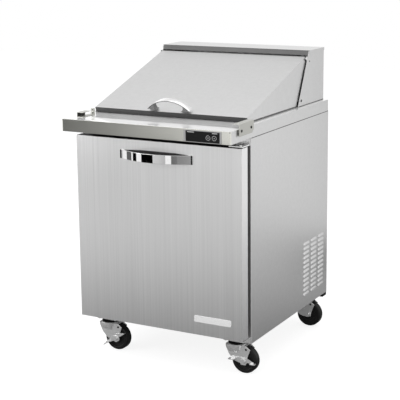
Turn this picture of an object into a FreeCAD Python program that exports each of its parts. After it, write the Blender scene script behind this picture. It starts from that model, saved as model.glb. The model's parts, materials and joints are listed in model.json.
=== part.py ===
"""A 27-inch stainless sandwich prep table on casters, as an assembly of separate pieces.

X runs to the right seen from the front, Y to the back, Z up. The origin is on the floor, under the
middle of the worktop. All sizes are millimetres, and every driving dimension is a cell of the sheet.
"""

import math
import os
import re

import FreeCAD
import Part
import Sketcher

DIMENSIONS = {
    # overall
    "width": 698.5,  # over the side panels
    "depth": 864,  # worktop, front to back
    "steel": 1.5,  # outer sheet thickness
    "fit": 0.05,  # radial running clearance of pins and axles
    "gap": 0.3,  # clearance between pieces that move past each other
    "over": 5,  # how far a cutting tool passes through
    # worktop and its pan well
    "top_height": 930,
    "top_thick": 46.5,
    "well_half": 320,
    "well_front": 243,
    "well_back": 288,
    "well_collar": 20,
    "pan_pitch": 158.75,
    "row_pitch": 177,
    "pan_wide": 157.5,
    "pan_long": 174.5,
    "pan_body_wide": 139,
    "pan_body_long": 154,
    "pan_deep": 100,
    "pan_wall": 1,
    "pan_rim_top": 925.2,
    "pan_rim_thick": 1.2,
    "bar_wide": 12,
    "bar_thick": 9,
    # board brackets on the ledge
    "bracket_front": 382,
    "bracket_long": 114,
    "bracket_low": 905,
    "bracket_high": 949,
    "bracket_thick": 2,
    "bracket_flange": 24,
    "bracket_standoff": 4.75,
    "standoff_radius": 7,
    # the channel that stands on the ledge's left end, with a tab behind it
    "channel_inset": 33.25,
    "channel_wide": 26,
    "channel_long": 52,
    "tab_back": 300,
    "tab_wide": 18,
    "tab_high": 24,
    "tab_screw_radius": 2.2,
    "tab_screw_head": 2,
    "screw_radius": 5,
    "screw_head": 3,
    "hood_screw_radius": 4,
    "hood_screw_head": 2,
    "rivet_radius": 2.5,
    "rivet_head": 1.5,
    # controls in the rail
    "bezel_left": 164.5,
    "bezel_right": 313,
    "bezel_low": 884.5,
    "bezel_high": 926.5,
    "bezel_out": 2.5,
    "panel_left": 173,
    "panel_right": 306.5,
    "panel_low": 886,
    "panel_high": 924,
    "panel_sunk": 2,
    "recess_deep": 30,
    "key_radius": 9.6,
    "key_deep": 7.4,
    "key_left_side": 261.5,
    "key_right_side": 285.5,
    "key_high": 903,
    # cabinet
    "caster_height": 127,
    "skirt": 3.5,  # how far the side panels reach below the floor
    "toe_high": 155,
    "frame_front": 278,
    "panel_bend": 25,
    "breaker_half": 323.5,
    "breaker_open_half": 298,
    "breaker_open_low": 198,
    "breaker_open_high": 822,
    "liner_front": 262,
    "liner_half": 313.5,
    "liner_wall": 1.2,
    "liner_floor": 178,
    "step_deep": 130,
    "step_high": 430,
    "liner_deep": 385,
    "riser_side": -200,
    "riser_back": 374,
    "suction_sleeve": 5.5,
    "machine_front": 165,
    "machine_high": 395,
    "foam_back": 428,
    "floor_thick": 2,
    # rear grille and cord gland
    "grille_low": 8,
    "grille_near": 30,
    "grille_far": 230,
    "grille_first": 60,
    "grille_pitch": 22,
    "grille_slot": 8,
    "gland_side": 270,
    "gland_high": 40,
    "gland_radius": 9,
    "gland_flange": 14,
    "gland_bore": 4.2,
    "bumper_near": 314,
    "bumper_front": 396,
    "bumper_out": 2.5,
    "bumper_tall": 18,
    # shelf
    "shelf_high": 552,
    "shelf_front": 236,
    "shelf_back": 276,
    "shelf_half": 305,
    "shelf_long": 520,
    "rail_radius": 3,
    "wire_radius": 1.6,
    "wire_pitch": 25,
    "clip_half": 8,
    "clip_out": 10,
    "clip_tall": 11,
    # side louvres
    "louvre_first": 219,
    "louvre_column": 73,
    "louvre_low": 173,
    "louvre_pitch": 18.8,
    "louvre_long": 58,
    "louvre_slot": 6,
    "louvre_out": 4,
    # hood
    "hood_half": 327.8,
    "hood_top": 1140.3,
    "hood_low_front": 178,
    "hood_back": 430,
    "hood_face": 63.5,  # slope of the open face, degrees
    "hood_band": 20.5,
    "cover_flange": 12,
    # lid
    "lid_half": 321.5,
    "lid_front": 250.7,
    "lid_front_high": 950.2,
    "lid_slope": 18.18,  # degrees
    "lid_long": 536.2,
    "lid_lip": 20,
    "lid_low": 931.2,
    "lid_core": 20,
    "lid_axis_back": 261,
    "lid_axis_high": 1110.8,
    "lid_pin": 3,
    "lid_boss": 6.8,
    "grip_half": 88,
    "grip_wide": 27,
    "grip_along": 11,  # from the lid's front edge
    "grip_rise": 42,
    "grip_radius": 123.25,
    "grip_hole": 54.6,
    "grip_crown": 37.5,
    # door
    "door_half": 346,
    "door_front": 346,
    "door_thick": 48,
    "door_low": 151,
    "door_high": 856.5,
    "door_axis_side": 331,
    "door_axis_front": 324,
    "door_pin": 5,
    "door_handle_low": 784,
    "door_handle_high": 817,
    "door_handle_out": 45,
    "door_handle_radius": 272.5,
    "door_handle_thick": 3.5,
    "door_handle_cut": 150,
    "foot_near": 134,
    "foot_far": 152,
    "foot_thick": 3,
    "back_plate_low": 786,
    "back_plate_high": 820.5,
    "back_plate_thick": 2.5,
    "badge_near": 150,
    "badge_far": 302,
    "badge_low": 200,
    "badge_high": 225,
    "badge_thick": 1.5,
    "liner_rise": 9,
    "liner_rise_half": 285,
    "liner_rise_low": 212,
    "liner_rise_high": 808,
    "hinge_arm": 4,
    "hinge_wall": 3,
    "hinge_wall_tall": 22,
    "hinge_reach": 40,
    "hinge_margin": 12,
    "hinge_pin_in": 22,
    "hinge_pin_out": 9,
    "gasket_half": 322,
    "gasket_wide": 20,
    "gasket_low": 174,
    "gasket_high": 846,
    # refrigeration
    "coil_near": 300,
    "coil_far": 335,
    "coil_front": 190,
    "coil_back": 410,
    "coil_low": 150,
    "coil_high": 370,
    "shroud_near": 262,
    "shroud_wall": 8,
    "shroud_top": 376,
    "fan_side": 252,
    "fan_middle": 300,
    "fan_high": 260,
    "throat_radius": 96,
    "condenser_blade": 88,
    "evaporator_blade": 60,
    "hub_radius": 20,
    "hub_long": 22,
    "shaft_radius": 4,
    "blade_thick": 1.6,
    "motor_radius": 34,
    "motor_side": 192,
    "motor_long": 46,
    "cold_motor_radius": 26,
    "cold_motor_long": 34,
    "cold_motor_front": 349.8,
    "cold_fan_side": 150,
    "cold_fan_front": 318,
    "cold_fan_high": 700,
    "pot_radius": 70,
    "pot_side": -120,
    "pot_back": 298,
    "pot_low": 160,
    "pot_tall": 165,
    "pot_foot": 85,
    "tray_near": 20,
    "tray_far": 170,
    "tray_front": 200,
    "tray_back": 400,
    "tray_tall": 30,
    "tray_wall": 2,
    "duct_half": 260,
    "duct_front": 296,
    "duct_low": 600,
    "duct_high": 800,
    "duct_wall": 2,
    "duct_inlet": 66,
    "riser_hole": 6,
    "cold_coil_left": -240,
    "cold_coil_right": 70,
    "cold_coil_front": 320,
    "cold_coil_back": 378,
    "cold_coil_low": 625,
    "cold_coil_high": 775,
    "fin_gap": 2,
    # casters
    "caster_side": 277,
    "caster_front": 250,
    "caster_back": 345,
    "caster_trail": 36,
    "wheel_radius": 50.8,
    "wheel_half": 16,
    "axle": 6,
    "kingpin": 8,
    "plate_half_long": 46,
    "plate_half_wide": 31,
    "plate_thick": 4,
    "crown_top": 107,
    "cheek_out": 20.5,
    "cheek_thick": 2.5,
    "cup_radius": 33,
    "nut_radius": 9,
    "tread_round": 6,
    "hub_wide": 15,
    "hub_proud": 1.7,
    "ring_inner": 19,
    "ring_outer": 37,
    "ring_deep": 6,
    "pedal_thick": 3,
}

doc = FreeCAD.newDocument("prep_table")
sheet = doc.addObject("Spreadsheet::Sheet", "dims")
for row, (alias, size) in enumerate(DIMENSIONS.items(), start=1):
    sheet.set(f"A{row}", alias)
    sheet.set(f"B{row}", str(size))
    sheet.setAlias(f"B{row}", alias)
doc.recompute()

# Planes and lines that many pieces share, as expressions on the sheet.
HALF = "(width / 2)"
FRONT = "(-depth / 2)"
BACK = "(depth / 2)"
UNDER = "(top_height - top_thick)"
INNER = "(width / 2 - steel)"
DOOR_BACK = "(door_thick - door_front)"
ROW_MIDDLE = "((well_back - well_front) / 2)"
HOOD_TOP_FRONT = "(hood_low_front + (hood_top - top_height) / tan(hood_face))"
FLOOR_TOP = "(caster_height + floor_thick)"
GLAND_HIGH = "(caster_height + gland_high)"
SIDES = {"left": -1, "right": 1}
GRILLE_ROWS = 9
LOUVRE_ROWS = 12
SHELF_WIRES = 25
CONDENSER_FINS = 16
EVAPORATOR_FINS = 20
FAN_BLADES = 5

pieces = []


def bound(text):
    """An expression in which each driving dimension's name points at the sheet."""
    return re.sub(r"[a-z_]+", lambda word: ("dims." if word[0] in DIMENSIONS else "") + word[0], str(text))


def node(name, shape):
    """Names a finished sub-part and keeps it for the checks and the export."""
    shape.Label = name
    pieces.append(shape)
    return shape


def place(shape, x, y, z="0"):
    for axis, text in zip("xyz", (x, y, z)):
        shape.setExpression(f".Placement.Base.{axis}", bound(text))
    return shape


def span(side, near, far):
    """Low and high X of something between two distances from the middle, on one side."""
    return (f"({near})", f"({far})") if side > 0 else (f"-({far})", f"-({near})")


def block(low, high):
    box = doc.addObject("Part::Box", "Block")
    for size, start, end in zip(("Length", "Width", "Height"), low, high):
        box.setExpression(size, bound(f"({end}) - ({start})"))
    return place(box, *low)


def rod(radius, length, start, along):
    """A round bar from a start point along an axis."""
    bar = doc.addObject("Part::Cylinder", "Rod")
    bar.setExpression("Radius", bound(radius))
    bar.setExpression("Height", bound(length))
    turn = FreeCAD.Rotation(FreeCAD.Vector(0, 0, 1), FreeCAD.Vector(*along))
    bar.Placement = FreeCAD.Placement(FreeCAD.Vector(), turn)
    return place(bar, *start)


def fuse(*shapes):
    union = doc.addObject("Part::MultiFuse", "Fuse")
    union.Shapes = list(shapes)
    return union


def group(*shapes):
    """Separate solids that share one node."""
    compound = doc.addObject("Part::Compound", "Group")
    compound.Links = list(shapes)
    return compound


def cut(base, *tools):
    result = doc.addObject("Part::Cut", "Cut")
    result.Base = base
    result.Tool = tools[0] if len(tools) == 1 else group(*tools)
    return result


def origin_plane(body, plane):
    return next(item for item in body.Origin.OriginFeatures if item.Role == f"{plane}_Plane")


def attach(body, name, plane, offset):
    sketch = body.newObject("Sketcher::SketchObject", name)
    sketch.AttachmentSupport = (origin_plane(body, plane), [""])
    sketch.MapMode = "FlatFace"
    sketch.setExpression(".AttachmentOffset.Base.z", bound(offset))
    return sketch


def outline(sketch, corners):
    """A closed outline whose corners are each held by their two distances from the origin."""
    first = sketch.GeometryCount
    count = len(corners)
    turns = [2 * math.pi * k / count for k in range(count)]
    start = [FreeCAD.Vector(100 * math.cos(turn), 100 * math.sin(turn), 0) for turn in turns]
    for k in range(count):
        sketch.addGeometry(Part.LineSegment(start[k], start[(k + 1) % count]), False)
    for k in range(count):
        sketch.addConstraint(Sketcher.Constraint("Coincident", first + k, 2, first + (k + 1) % count, 1))
    for k, corner in enumerate(corners):
        for kind, text, now in zip(("DistanceX", "DistanceY"), corner, start[k]):
            held = sketch.addConstraint(Sketcher.Constraint(kind, -1, 1, first + k, 1, now))
            sketch.setExpression(f"Constraints[{held}]", bound(text))


def circle(sketch, radius):
    index = sketch.addGeometry(Part.Circle(FreeCAD.Vector(), FreeCAD.Vector(0, 0, 1), 10), False)
    sketch.addConstraint(Sketcher.Constraint("Coincident", index, 3, -1, 1))
    held = sketch.addConstraint(Sketcher.Constraint("Radius", index, 10))
    sketch.setExpression(f"Constraints[{held}]", bound(radius))


def rectangle(low, high):
    return [(low[0], low[1]), (high[0], low[1]), (high[0], high[1]), (low[0], high[1])]


def prism(plane, corners, start, length):
    """An outline on an origin plane, padded from start along X, Y or Z by length."""
    body = doc.addObject("PartDesign::Body", "Prism")
    # an XZ sketch looks along -Y, so it sits at the far end and pads back to the start
    offset = f"-(({start}) + ({length}))" if plane == "XZ" else start
    sketch = attach(body, "Outline", plane, offset)
    outline(sketch, corners)
    pad = body.newObject("PartDesign::Pad", "Pad")
    pad.Profile = sketch
    pad.setExpression("Length", bound(length))
    return body


def screw(radius, head, side, near, y, z):
    """A domed screw head standing on a side face."""
    return rod(radius, head, (f"{side} * ({near})", y, z), (side, 0, 0))


# --- cabinet ---------------------------------------------------------------------------------------


def side_panel(side):
    """A folded side sheet with narrow returns at its front and back edges."""
    corners = [
        (HALF, "-frame_front"),
        (HALF, BACK),
        (f"{HALF} - panel_bend", BACK),
        (f"{HALF} - panel_bend", f"{BACK} - steel"),
        (INNER, f"{BACK} - steel"),
        (INNER, "steel - frame_front"),
        (f"{HALF} - panel_bend", "steel - frame_front"),
        (f"{HALF} - panel_bend", "-frame_front"),
    ]
    corners = [(f"{side} * ({x})", y) for x, y in corners]
    return prism("XY", corners, "caster_height - skirt", f"{UNDER} - caster_height + skirt")


def louvre_rectangles(low, high):
    """Three upright-stacked columns of louvres, one rectangle in each, on the YZ plane."""
    for column in range(3):
        middle = f"louvre_first + {column} * louvre_column"
        yield rectangle((f"{middle} - louvre_long / 2", low), (f"{middle} + louvre_long / 2", high))


def add_louvres(body):
    """Pressed-out lips over slots, patterned up the panel."""
    lips = attach(body, "Lips", "YZ", INNER)
    for corners in louvre_rectangles("louvre_low + louvre_slot / 2", "louvre_low + louvre_slot"):
        outline(lips, corners)
    lip = body.newObject("PartDesign::Pad", "Lip")
    lip.Profile = lips
    lip.setExpression("Length", bound("steel + louvre_out"))
    slots = attach(body, "Slots", "YZ", f"{HALF} + over")
    for corners in louvre_rectangles("louvre_low - louvre_slot / 2", "louvre_low + louvre_slot / 2"):
        outline(slots, corners)
    slot = body.newObject("PartDesign::Pocket", "Slot")
    slot.Profile = slots
    slot.setExpression("Length", bound("steel + 2 * over"))
    rows = body.newObject("PartDesign::LinearPattern", "Rows")
    rows.Originals = [lip, slot]
    rows.Direction = (lips, ["V_Axis"])
    rows.setExpression("Length", bound(f"{LOUVRE_ROWS - 1} * louvre_pitch"))
    rows.Occurrences = LOUVRE_ROWS
    body.Tip = rows
    return body


def cabinet_shell():
    node("side_panel_left", side_panel(-1))
    node("side_panel_right", add_louvres(side_panel(1)))
    sheet_back = f"{BACK} - steel"
    sheet_front = f"{BACK} - 2 * steel"
    seam = "(machine_high + over)"
    node("back_panel", block((f"-{INNER}", sheet_front, seam), (INNER, sheet_back, UNDER)))
    grille = block(
        (f"-{INNER}", sheet_front, "caster_height + grille_low"), (INNER, sheet_back, f"{seam} - gap")
    )
    slots = []
    for side in (-1, 1):
        low, high = span(side, "grille_near", "grille_far")
        for level in range(GRILLE_ROWS):
            z = f"caster_height + grille_first + {level} * grille_pitch"
            slots.append(block((low, "foam_back", z), (high, f"{BACK} + over", f"{z} + grille_slot")))
    entry = rod("gland_radius", "4 * over", ("gland_side", f"{BACK} - 3 * over", GLAND_HIGH), (0, 1, 0))
    node("rear_grille", cut(grille, *slots, entry))
    floor = block((f"-{INNER}", "steel - frame_front", "caster_height"), (INNER, sheet_front, FLOOR_TOP))
    toe = block(
        (f"panel_bend - {HALF}", "-frame_front", "caster_height"),
        (f"{HALF} - panel_bend", "steel - frame_front", "toe_high"),
    )
    node("base_panel", fuse(floor, toe))
    strips = []
    for side in (-1, 1):
        low, high = span(side, "breaker_open_half", "breaker_half")
        strips.append(block((low, "-frame_front", "toe_high"), (high, "-liner_front", UNDER)))
    for low, high in (("toe_high", "breaker_open_low"), ("breaker_open_high", UNDER)):
        strips.append(
            block(("-breaker_open_half", "-frame_front", low), ("breaker_open_half", "-liner_front", high))
        )
    node("front_breaker", group(*strips))


def cold_compartment():
    """Folded liner panels with foam slabs behind them, stepped over the machine compartment."""
    back = "liner_deep"
    top = f"{UNDER} - 0.5"
    front = "-liner_front"
    wall = "liner_wall"
    lined = "(liner_half - liner_wall)"
    riser = ("riser_side", "riser_back")
    opening = rod("suction_sleeve", "60", (*riser, "machine_high"), (0, 0, 1))
    step = block((f"-{lined}", "step_deep", f"step_high - {wall}"), (lined, back, "step_high"))
    riser_front = f"step_deep - {wall}"
    panels = [
        block((f"-{lined}", front, f"liner_floor - {wall}"), (lined, riser_front, "liner_floor")),
        block((f"-{lined}", riser_front, f"liner_floor - {wall}"), (lined, "step_deep", "step_high")),
        cut(step, opening),
        block((f"-{lined}", f"{back} - {wall}", "step_high"), (lined, back, top)),
    ]
    side_outline = [
        (front, f"liner_floor - {wall}"),
        ("step_deep", f"liner_floor - {wall}"),
        ("step_deep", f"step_high - {wall}"),
        (back, f"step_high - {wall}"),
        (back, top),
        (front, top),
    ]
    for side in (-1, 1):
        low, _ = span(side, lined, "liner_half")
        panels.append(prism("YZ", side_outline, low, wall))
    node("cabinet_liner", group(*panels))

    outer = f"({INNER} - 0.5)"
    low = "caster_height + 2.5"
    sleeve = rod("suction_sleeve", "60", (*riser, "machine_high - 10"), (0, 0, 1))
    shelf_foam = block(
        ("-liner_half", "machine_front", "machine_high"), ("liner_half", back, f"step_high - {wall}")
    )
    slabs = [
        block(("-liner_half", front, low), ("liner_half", "step_deep", f"liner_floor - {wall}")),
        block(("-liner_half", "step_deep", low), ("liner_half", "machine_front", f"step_high - {wall}")),
        cut(shelf_foam, sleeve),
        block(("-liner_half", back, "machine_high"), ("liner_half", "foam_back", top)),
    ]
    wing_outline = [
        (front, low),
        ("machine_front", low),
        ("machine_front", "machine_high"),
        ("foam_back", "machine_high"),
        ("foam_back", top),
        (front, top),
    ]
    for side in (-1, 1):
        near, far = span(side, "liner_half", outer)
        slabs.append(prism("YZ", wing_outline, near, f"({far}) - ({near})"))
    node("cabinet_insulation", group(*slabs))
    shelf()


def shelf():
    """A wire shelf: four rails under close wires, on four clips at its corners."""
    wires = []
    for k in range(SHELF_WIRES):
        x = f"{k - SHELF_WIRES // 2} * wire_pitch"
        z = "shelf_high + rail_radius + wire_radius - 0.4"
        wires.append(rod("wire_radius", "shelf_long", (x, "-shelf_front - 4", z), (0, 1, 0)))
    rails = []
    for share in (0, 1 / 3, 2 / 3, 1):
        y = f"-shelf_front + (shelf_front + shelf_back) * {share}"
        rails.append(rod("rail_radius", "2 * shelf_half", ("-shelf_half", y, "shelf_high"), (1, 0, 0)))
    node("shelf", fuse(*rails, *wires))
    clips = []
    for side in (-1, 1):
        low, high = span(side, "liner_half - liner_wall - clip_out", "liner_half - liner_wall")
        for y in ("-shelf_front", "shelf_back"):
            top = "shelf_high - rail_radius"
            start = (low, f"{y} - clip_half", f"{top} - clip_tall")
            clips.append(block(start, (high, f"{y} + clip_half", top)))
    node("shelf_clips", group(*clips))


# --- worktop, pans and hood -------------------------------------------------------------------------


def worktop():
    slab = block((f"-{HALF}", FRONT, UNDER), (HALF, BACK, "top_height"))
    core = block(
        (f"-{INNER}", f"{FRONT} + steel", UNDER), (INNER, f"{BACK} - steel", "top_height - steel")
    )
    collar = block(
        ("-well_half - steel", "-well_front - steel", "top_height - steel - well_collar"),
        ("well_half + steel", "well_back + steel", "top_height"),
    )
    well = block(("-well_half", "-well_front", "0"), ("well_half", "well_back", "top_height + over"))
    skin = cut(slab, cut(core, collar), well, control_recess())
    node("worktop", skin)
    filling = block(
        (f"-{INNER}", f"{FRONT} + steel", UNDER), (INNER, f"{BACK} - steel", "top_height - steel")
    )
    clear = block(
        ("-well_half - steel", "-well_front - steel", "0"),
        ("well_half + steel", "well_back + steel", "top_height + over"),
    )
    node("worktop_core", cut(filling, clear, control_recess()))


def control_recess():
    """The opening in the rail that the control module sits in."""
    low = ("panel_left - gap", f"{FRONT} - over", "panel_low - gap")
    return block(low, ("panel_right + gap", f"{FRONT} + recess_deep", "panel_high + gap"))


def pan(column, row):
    """A sixth-size food pan hanging by its rim."""
    x = f"{column - 1.5} * pan_pitch"
    y = f"{ROW_MIDDLE} + {row - 1} * row_pitch"

    def centred(wide, long, low, high):
        half_wide = f"({wide}) / 2"
        half_long = f"({long}) / 2"
        start = (f"{x} - {half_wide}", f"{y} - {half_long}", low)
        return block(start, (f"{x} + {half_wide}", f"{y} + {half_long}", high))

    rim = centred("pan_wide", "pan_long", "pan_rim_top - pan_rim_thick", "pan_rim_top")
    tub_top = "pan_rim_top - pan_rim_thick / 2"
    tub = centred("pan_body_wide", "pan_body_long", "pan_rim_top - pan_deep", tub_top)
    hollow = centred(
        "pan_body_wide - 2 * pan_wall",
        "pan_body_long - 2 * pan_wall",
        "pan_rim_top - pan_deep + pan_wall",
        "pan_rim_top + over",
    )
    return cut(fuse(rim, tub), hollow)


def pans():
    for row, name in enumerate(("front", "middle", "back")):
        node(f"pans_{name}", group(*(pan(column, row) for column in range(4))))
    top = "pan_rim_top - pan_rim_thick"
    ledge = "bar_wide / 2"
    bars = [
        block(("-well_half", low, f"{top} - bar_thick"), ("well_half", high, top))
        for low, high in (
            ("-well_front", f"{ledge} - well_front"),
            (f"{ROW_MIDDLE} - row_pitch / 2 - {ledge}", f"{ROW_MIDDLE} - row_pitch / 2 + {ledge}"),
            (f"{ROW_MIDDLE} + row_pitch / 2 - {ledge}", f"{ROW_MIDDLE} + row_pitch / 2 + {ledge}"),
            (f"well_back - {ledge}", "well_back"),
        )
    ]
    node("pan_bars", group(*bars))


def hood():
    profile = [
        ("hood_low_front", "top_height"),
        ("hood_back", "top_height"),
        ("hood_back", "hood_top - steel"),
        (f"{HOOD_TOP_FRONT} - steel / tan(hood_face)", "hood_top - steel"),
    ]
    body = prism("YZ", profile, "-hood_half", "2 * hood_half")
    space = block(
        ("steel - hood_half", "0", "top_height - over"),
        ("hood_half - steel", "hood_back - steel", "hood_top + over"),
    )
    ears = []
    bores = []
    for side in (-1, 1):
        low, high = span(side, "hood_half - steel", "hood_half")
        ears.append(rod("8", "steel", (low, "lid_axis_back", "lid_axis_high"), (1, 0, 0)))
        ear_low = (low, "lid_axis_back", "lid_axis_high - 7")
        ears.append(block(ear_low, (high, "lid_axis_back + 16", "lid_axis_high + 7")))
        bore_start = (f"({low}) - 2", "lid_axis_back", "lid_axis_high")
        bores.append(rod("lid_pin + fit", "6", bore_start, (1, 0, 0)))
    node("hood_housing", cut(fuse(cut(body, space), *ears), *bores))
    face_low = f"{HOOD_TOP_FRONT} - hood_band * cos(hood_face)"
    face_low_z = "hood_top - hood_band * sin(hood_face)"
    band = [
        (face_low, face_low_z),
        (HOOD_TOP_FRONT, "hood_top"),
        (f"{HOOD_TOP_FRONT} + steel / sin(hood_face)", "hood_top"),
        (f"{face_low} + steel * sin(hood_face)", f"{face_low_z} - steel * cos(hood_face)"),
    ]
    roof = [
        (HOOD_TOP_FRONT, "hood_top"),
        ("hood_back + steel", "hood_top"),
        ("hood_back + steel", "hood_top - cover_flange"),
        ("hood_back", "hood_top - cover_flange"),
        ("hood_back", "hood_top - steel"),
        (f"{HOOD_TOP_FRONT} - steel / tan(hood_face)", "hood_top - steel"),
    ]
    flange = [
        (f"{HOOD_TOP_FRONT} - cover_flange / tan(hood_face)", "hood_top - cover_flange"),
        (HOOD_TOP_FRONT, "hood_top"),
        ("hood_back + steel", "hood_top"),
        ("hood_back + steel", "hood_top - cover_flange"),
    ]
    parts = [
        prism("YZ", band, "steel - hood_half", "2 * (hood_half - steel)"),
        prism("YZ", roof, "-hood_half - steel", "2 * (hood_half + steel)"),
    ]
    for side in (-1, 1):
        low, _ = span(side, "hood_half", "hood_half + steel")
        parts.append(prism("YZ", flange, low, "steel"))
    node("hood_cover", fuse(*parts))


def bracket_right():
    """An angle that holds a cutting board, on two standoffs at the end of the ledge."""
    front = "(-bracket_front)"
    back = f"({front} + bracket_long)"
    cut_corner = "(bracket_long / 8)"
    corners = [
        (front, "bracket_low"),
        (f"{back} - {cut_corner}", "bracket_low"),
        (back, f"bracket_low + {cut_corner}"),
        (back, "bracket_high"),
        (front, "bracket_high"),
    ]
    inside = f"({HALF} + bracket_standoff)"
    outside = f"({inside} + bracket_thick)"
    top = block(
        (f"{inside} - bracket_flange", front, "bracket_high - bracket_thick"),
        (outside, back, "bracket_high"),
    )
    screws = [(f"{front} + 17", "bracket_low + 18.5"), (f"{back} - 22", "bracket_low + 21")]
    standoffs = [rod("standoff_radius", "bracket_standoff", (HALF, y, z), (1, 0, 0)) for y, z in screws]
    node("bracket_right", fuse(prism("YZ", corners, inside, "bracket_thick"), top, *standoffs))
    return [screw("screw_radius", "screw_head", 1, outside, y, z) for y, z in screws]


def bracket_left():
    """A channel open towards the ledge's middle, whose foot runs back to an upright tab."""
    front = "(-bracket_front)"
    back = f"({front} + channel_long)"
    tab_back = "(-tab_back)"
    outside = f"(channel_inset - {HALF})"
    inside = f"({outside} + channel_wide)"
    foot_top = "(top_height + bracket_thick)"
    tab_front = f"({tab_back} - bracket_thick)"
    tab_top = "(top_height + tab_high)"
    node("bracket_left", fuse(
        block((outside, front, "top_height"), (f"{outside} + bracket_thick", back, "bracket_high")),
        block((outside, front, "bracket_high - bracket_thick"), (inside, back, "bracket_high")),
        block((outside, front, "top_height"), (inside, tab_back, foot_top)),
        block((f"{inside} - tab_wide", tab_front, "top_height"), (inside, tab_back, tab_top)),
    ))
    across = f"({inside} - tab_wide / 2)"
    return [
        rod("tab_screw_radius", "tab_screw_head", (across, tab_front, f"({tab_top} - {drop})"), (0, -1, 0))
        for drop in ("tab_high / 4", "3 * tab_high / 4")
    ]


def board_brackets():
    """The two brackets of the cutting board, and the screws in them and in the hood's sides."""
    heads = bracket_left() + bracket_right()
    for side in (-1, 1):
        for radius, head, y, z in (
            ("hood_screw_radius", "hood_screw_head", "208", "top_height + 22"),
            ("rivet_radius", "rivet_head", "287", "hood_top - 42.3"),
        ):
            heads.append(screw(radius, head, side, "hood_half", y, z))
    node("side_screws", group(*heads))


# --- lid ---------------------------------------------------------------------------------------------


def on_lid(along, below):
    """A point on the lid's section: along the slope from its front edge, and below its top face."""
    y = f"(-lid_front + ({along}) * cos(lid_slope) + ({below}) * sin(lid_slope))"
    z = f"(lid_front_high + ({along}) * sin(lid_slope) - ({below}) * cos(lid_slope))"
    return (y, z)


def lid():
    sheet_outline = [
        on_lid("0", "lid_lip"),
        on_lid("0", "0"),
        on_lid("lid_long", "0"),
        on_lid("lid_long", "steel"),
        on_lid("steel", "steel"),
        on_lid("steel", "lid_lip"),
    ]
    cheek_outline = [
        on_lid("0", "lid_lip"),
        on_lid("0", "0"),
        on_lid("lid_long", "0"),
        ("lid_axis_back + 4.5", "lid_axis_high - 2"),
        ("hood_low_front - 2", "lid_low"),
    ]
    parts = [prism("YZ", sheet_outline, "-lid_half", "2 * lid_half")]
    holes = []
    pins = []
    for side in (-1, 1):
        low, _ = span(side, "lid_half - steel", "lid_half")
        parts.append(prism("YZ", cheek_outline, low, "steel"))
        parts.append(rod("lid_boss", "steel", (low, "lid_axis_back", "lid_axis_high"), (1, 0, 0)))
        holes.append(rod("lid_pin", "10", (f"({low}) - 4", "lid_axis_back", "lid_axis_high"), (1, 0, 0)))
        pin_low, _ = span(side, "lid_half - 6", "hood_half")
        pin_start = (pin_low, "lid_axis_back", "lid_axis_high")
        pins.append(rod("lid_pin", "hood_half - lid_half + 6", pin_start, (1, 0, 0)))
    node("lid_shell", cut(fuse(*parts), *holes))
    node("lid_hinge_pins", group(*pins))
    liner_outline = [
        on_lid("14", "steel"),
        on_lid("lid_long - 24", "steel"),
        on_lid("lid_long - 24", "steel + lid_core"),
        on_lid("20", "steel + lid_core / 2"),
    ]
    node("lid_liner", prism("YZ", liner_outline, "steel - lid_half", "2 * (lid_half - steel)"))


def lid_handle():
    """A broad arched strap with straight ends, on two legs, near the lid's front edge."""
    arch = rod("grip_radius", "grip_wide", ("0", "0", "grip_rise - grip_radius"), (0, 1, 0))
    above = block(("-grip_half", "0", "0"), ("grip_half", "grip_wide", "grip_rise + over"))
    hollow = rod("grip_hole", "grip_wide + 2 * over", ("0", "-over", "grip_crown - grip_hole"), (0, 1, 0))
    crescent = doc.addObject("Part::Common", "Common")
    crescent.Base = arch
    crescent.Tool = above
    corners = []
    for side in (-1, 1):
        outside = f"{side} * (grip_half + 2)"
        corner = [(outside, "-1"), (outside, "4"), (f"{side} * (grip_half - 14)", "-1")]
        corners.append(prism("XZ", corner, "-over", "grip_wide + 2 * over"))
    handle = cut(crescent, hollow, *corners)
    handle.Placement.Rotation = FreeCAD.Rotation(FreeCAD.Vector(1, 0, 0), DIMENSIONS["lid_slope"])
    y, z = on_lid("grip_along", "0")
    place(handle, "0", y, z)
    node("lid_handle", handle)


# --- door --------------------------------------------------------------------------------------------


def door():
    outer = block(
        ("-door_half", "-door_front", "door_low"), ("door_half", f"{DOOR_BACK} - 2", "door_high")
    )
    space = block(
        ("steel - door_half", "steel - door_front", "door_low + steel"),
        ("door_half - steel", f"{DOOR_BACK} + over", "door_high - steel"),
    )
    spot = ("door_axis_side", "-door_axis_front")
    holes = rod("door_pin + fit", "door_high", (*spot, "door_low - 4 * over"), (0, 0, 1))
    node("door_shell", cut(outer, space, holes))
    foam = block(
        ("steel - door_half", "steel - door_front", "door_low + steel"),
        ("door_half - steel", f"{DOOR_BACK} - 2", "door_high - steel"),
    )
    low_well = rod("door_pin + gap", "8 * over", (*spot, "door_low - over"), (0, 0, 1))
    high_well = rod("door_pin + gap", "8 * over", (*spot, "door_high - 7 * over"), (0, 0, 1))
    node("door_insulation", cut(foam, low_well, high_well))
    back = block(("-door_half", f"{DOOR_BACK} - 2", "door_low"), ("door_half", DOOR_BACK, "door_high"))
    raised = block(
        ("-liner_rise_half", DOOR_BACK, "liner_rise_low"),
        ("liner_rise_half", f"{DOOR_BACK} + liner_rise", "liner_rise_high"),
    )
    node("door_liner", fuse(back, raised))
    seal = block(
        ("-gasket_half", DOOR_BACK, "gasket_low"), ("gasket_half", "-frame_front - 0.4", "gasket_high")
    )
    inside = block(
        ("gasket_wide - gasket_half", f"{DOOR_BACK} - over", "gasket_low + gasket_wide"),
        ("gasket_half - gasket_wide", "over - frame_front", "gasket_high - gasket_wide"),
    )
    node("door_gasket", cut(seal, inside))
    badge = block(
        ("badge_near", "-door_front - badge_thick", "badge_low"), ("badge_far", "-door_front", "badge_high")
    )
    node("door_badge", badge)


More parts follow.
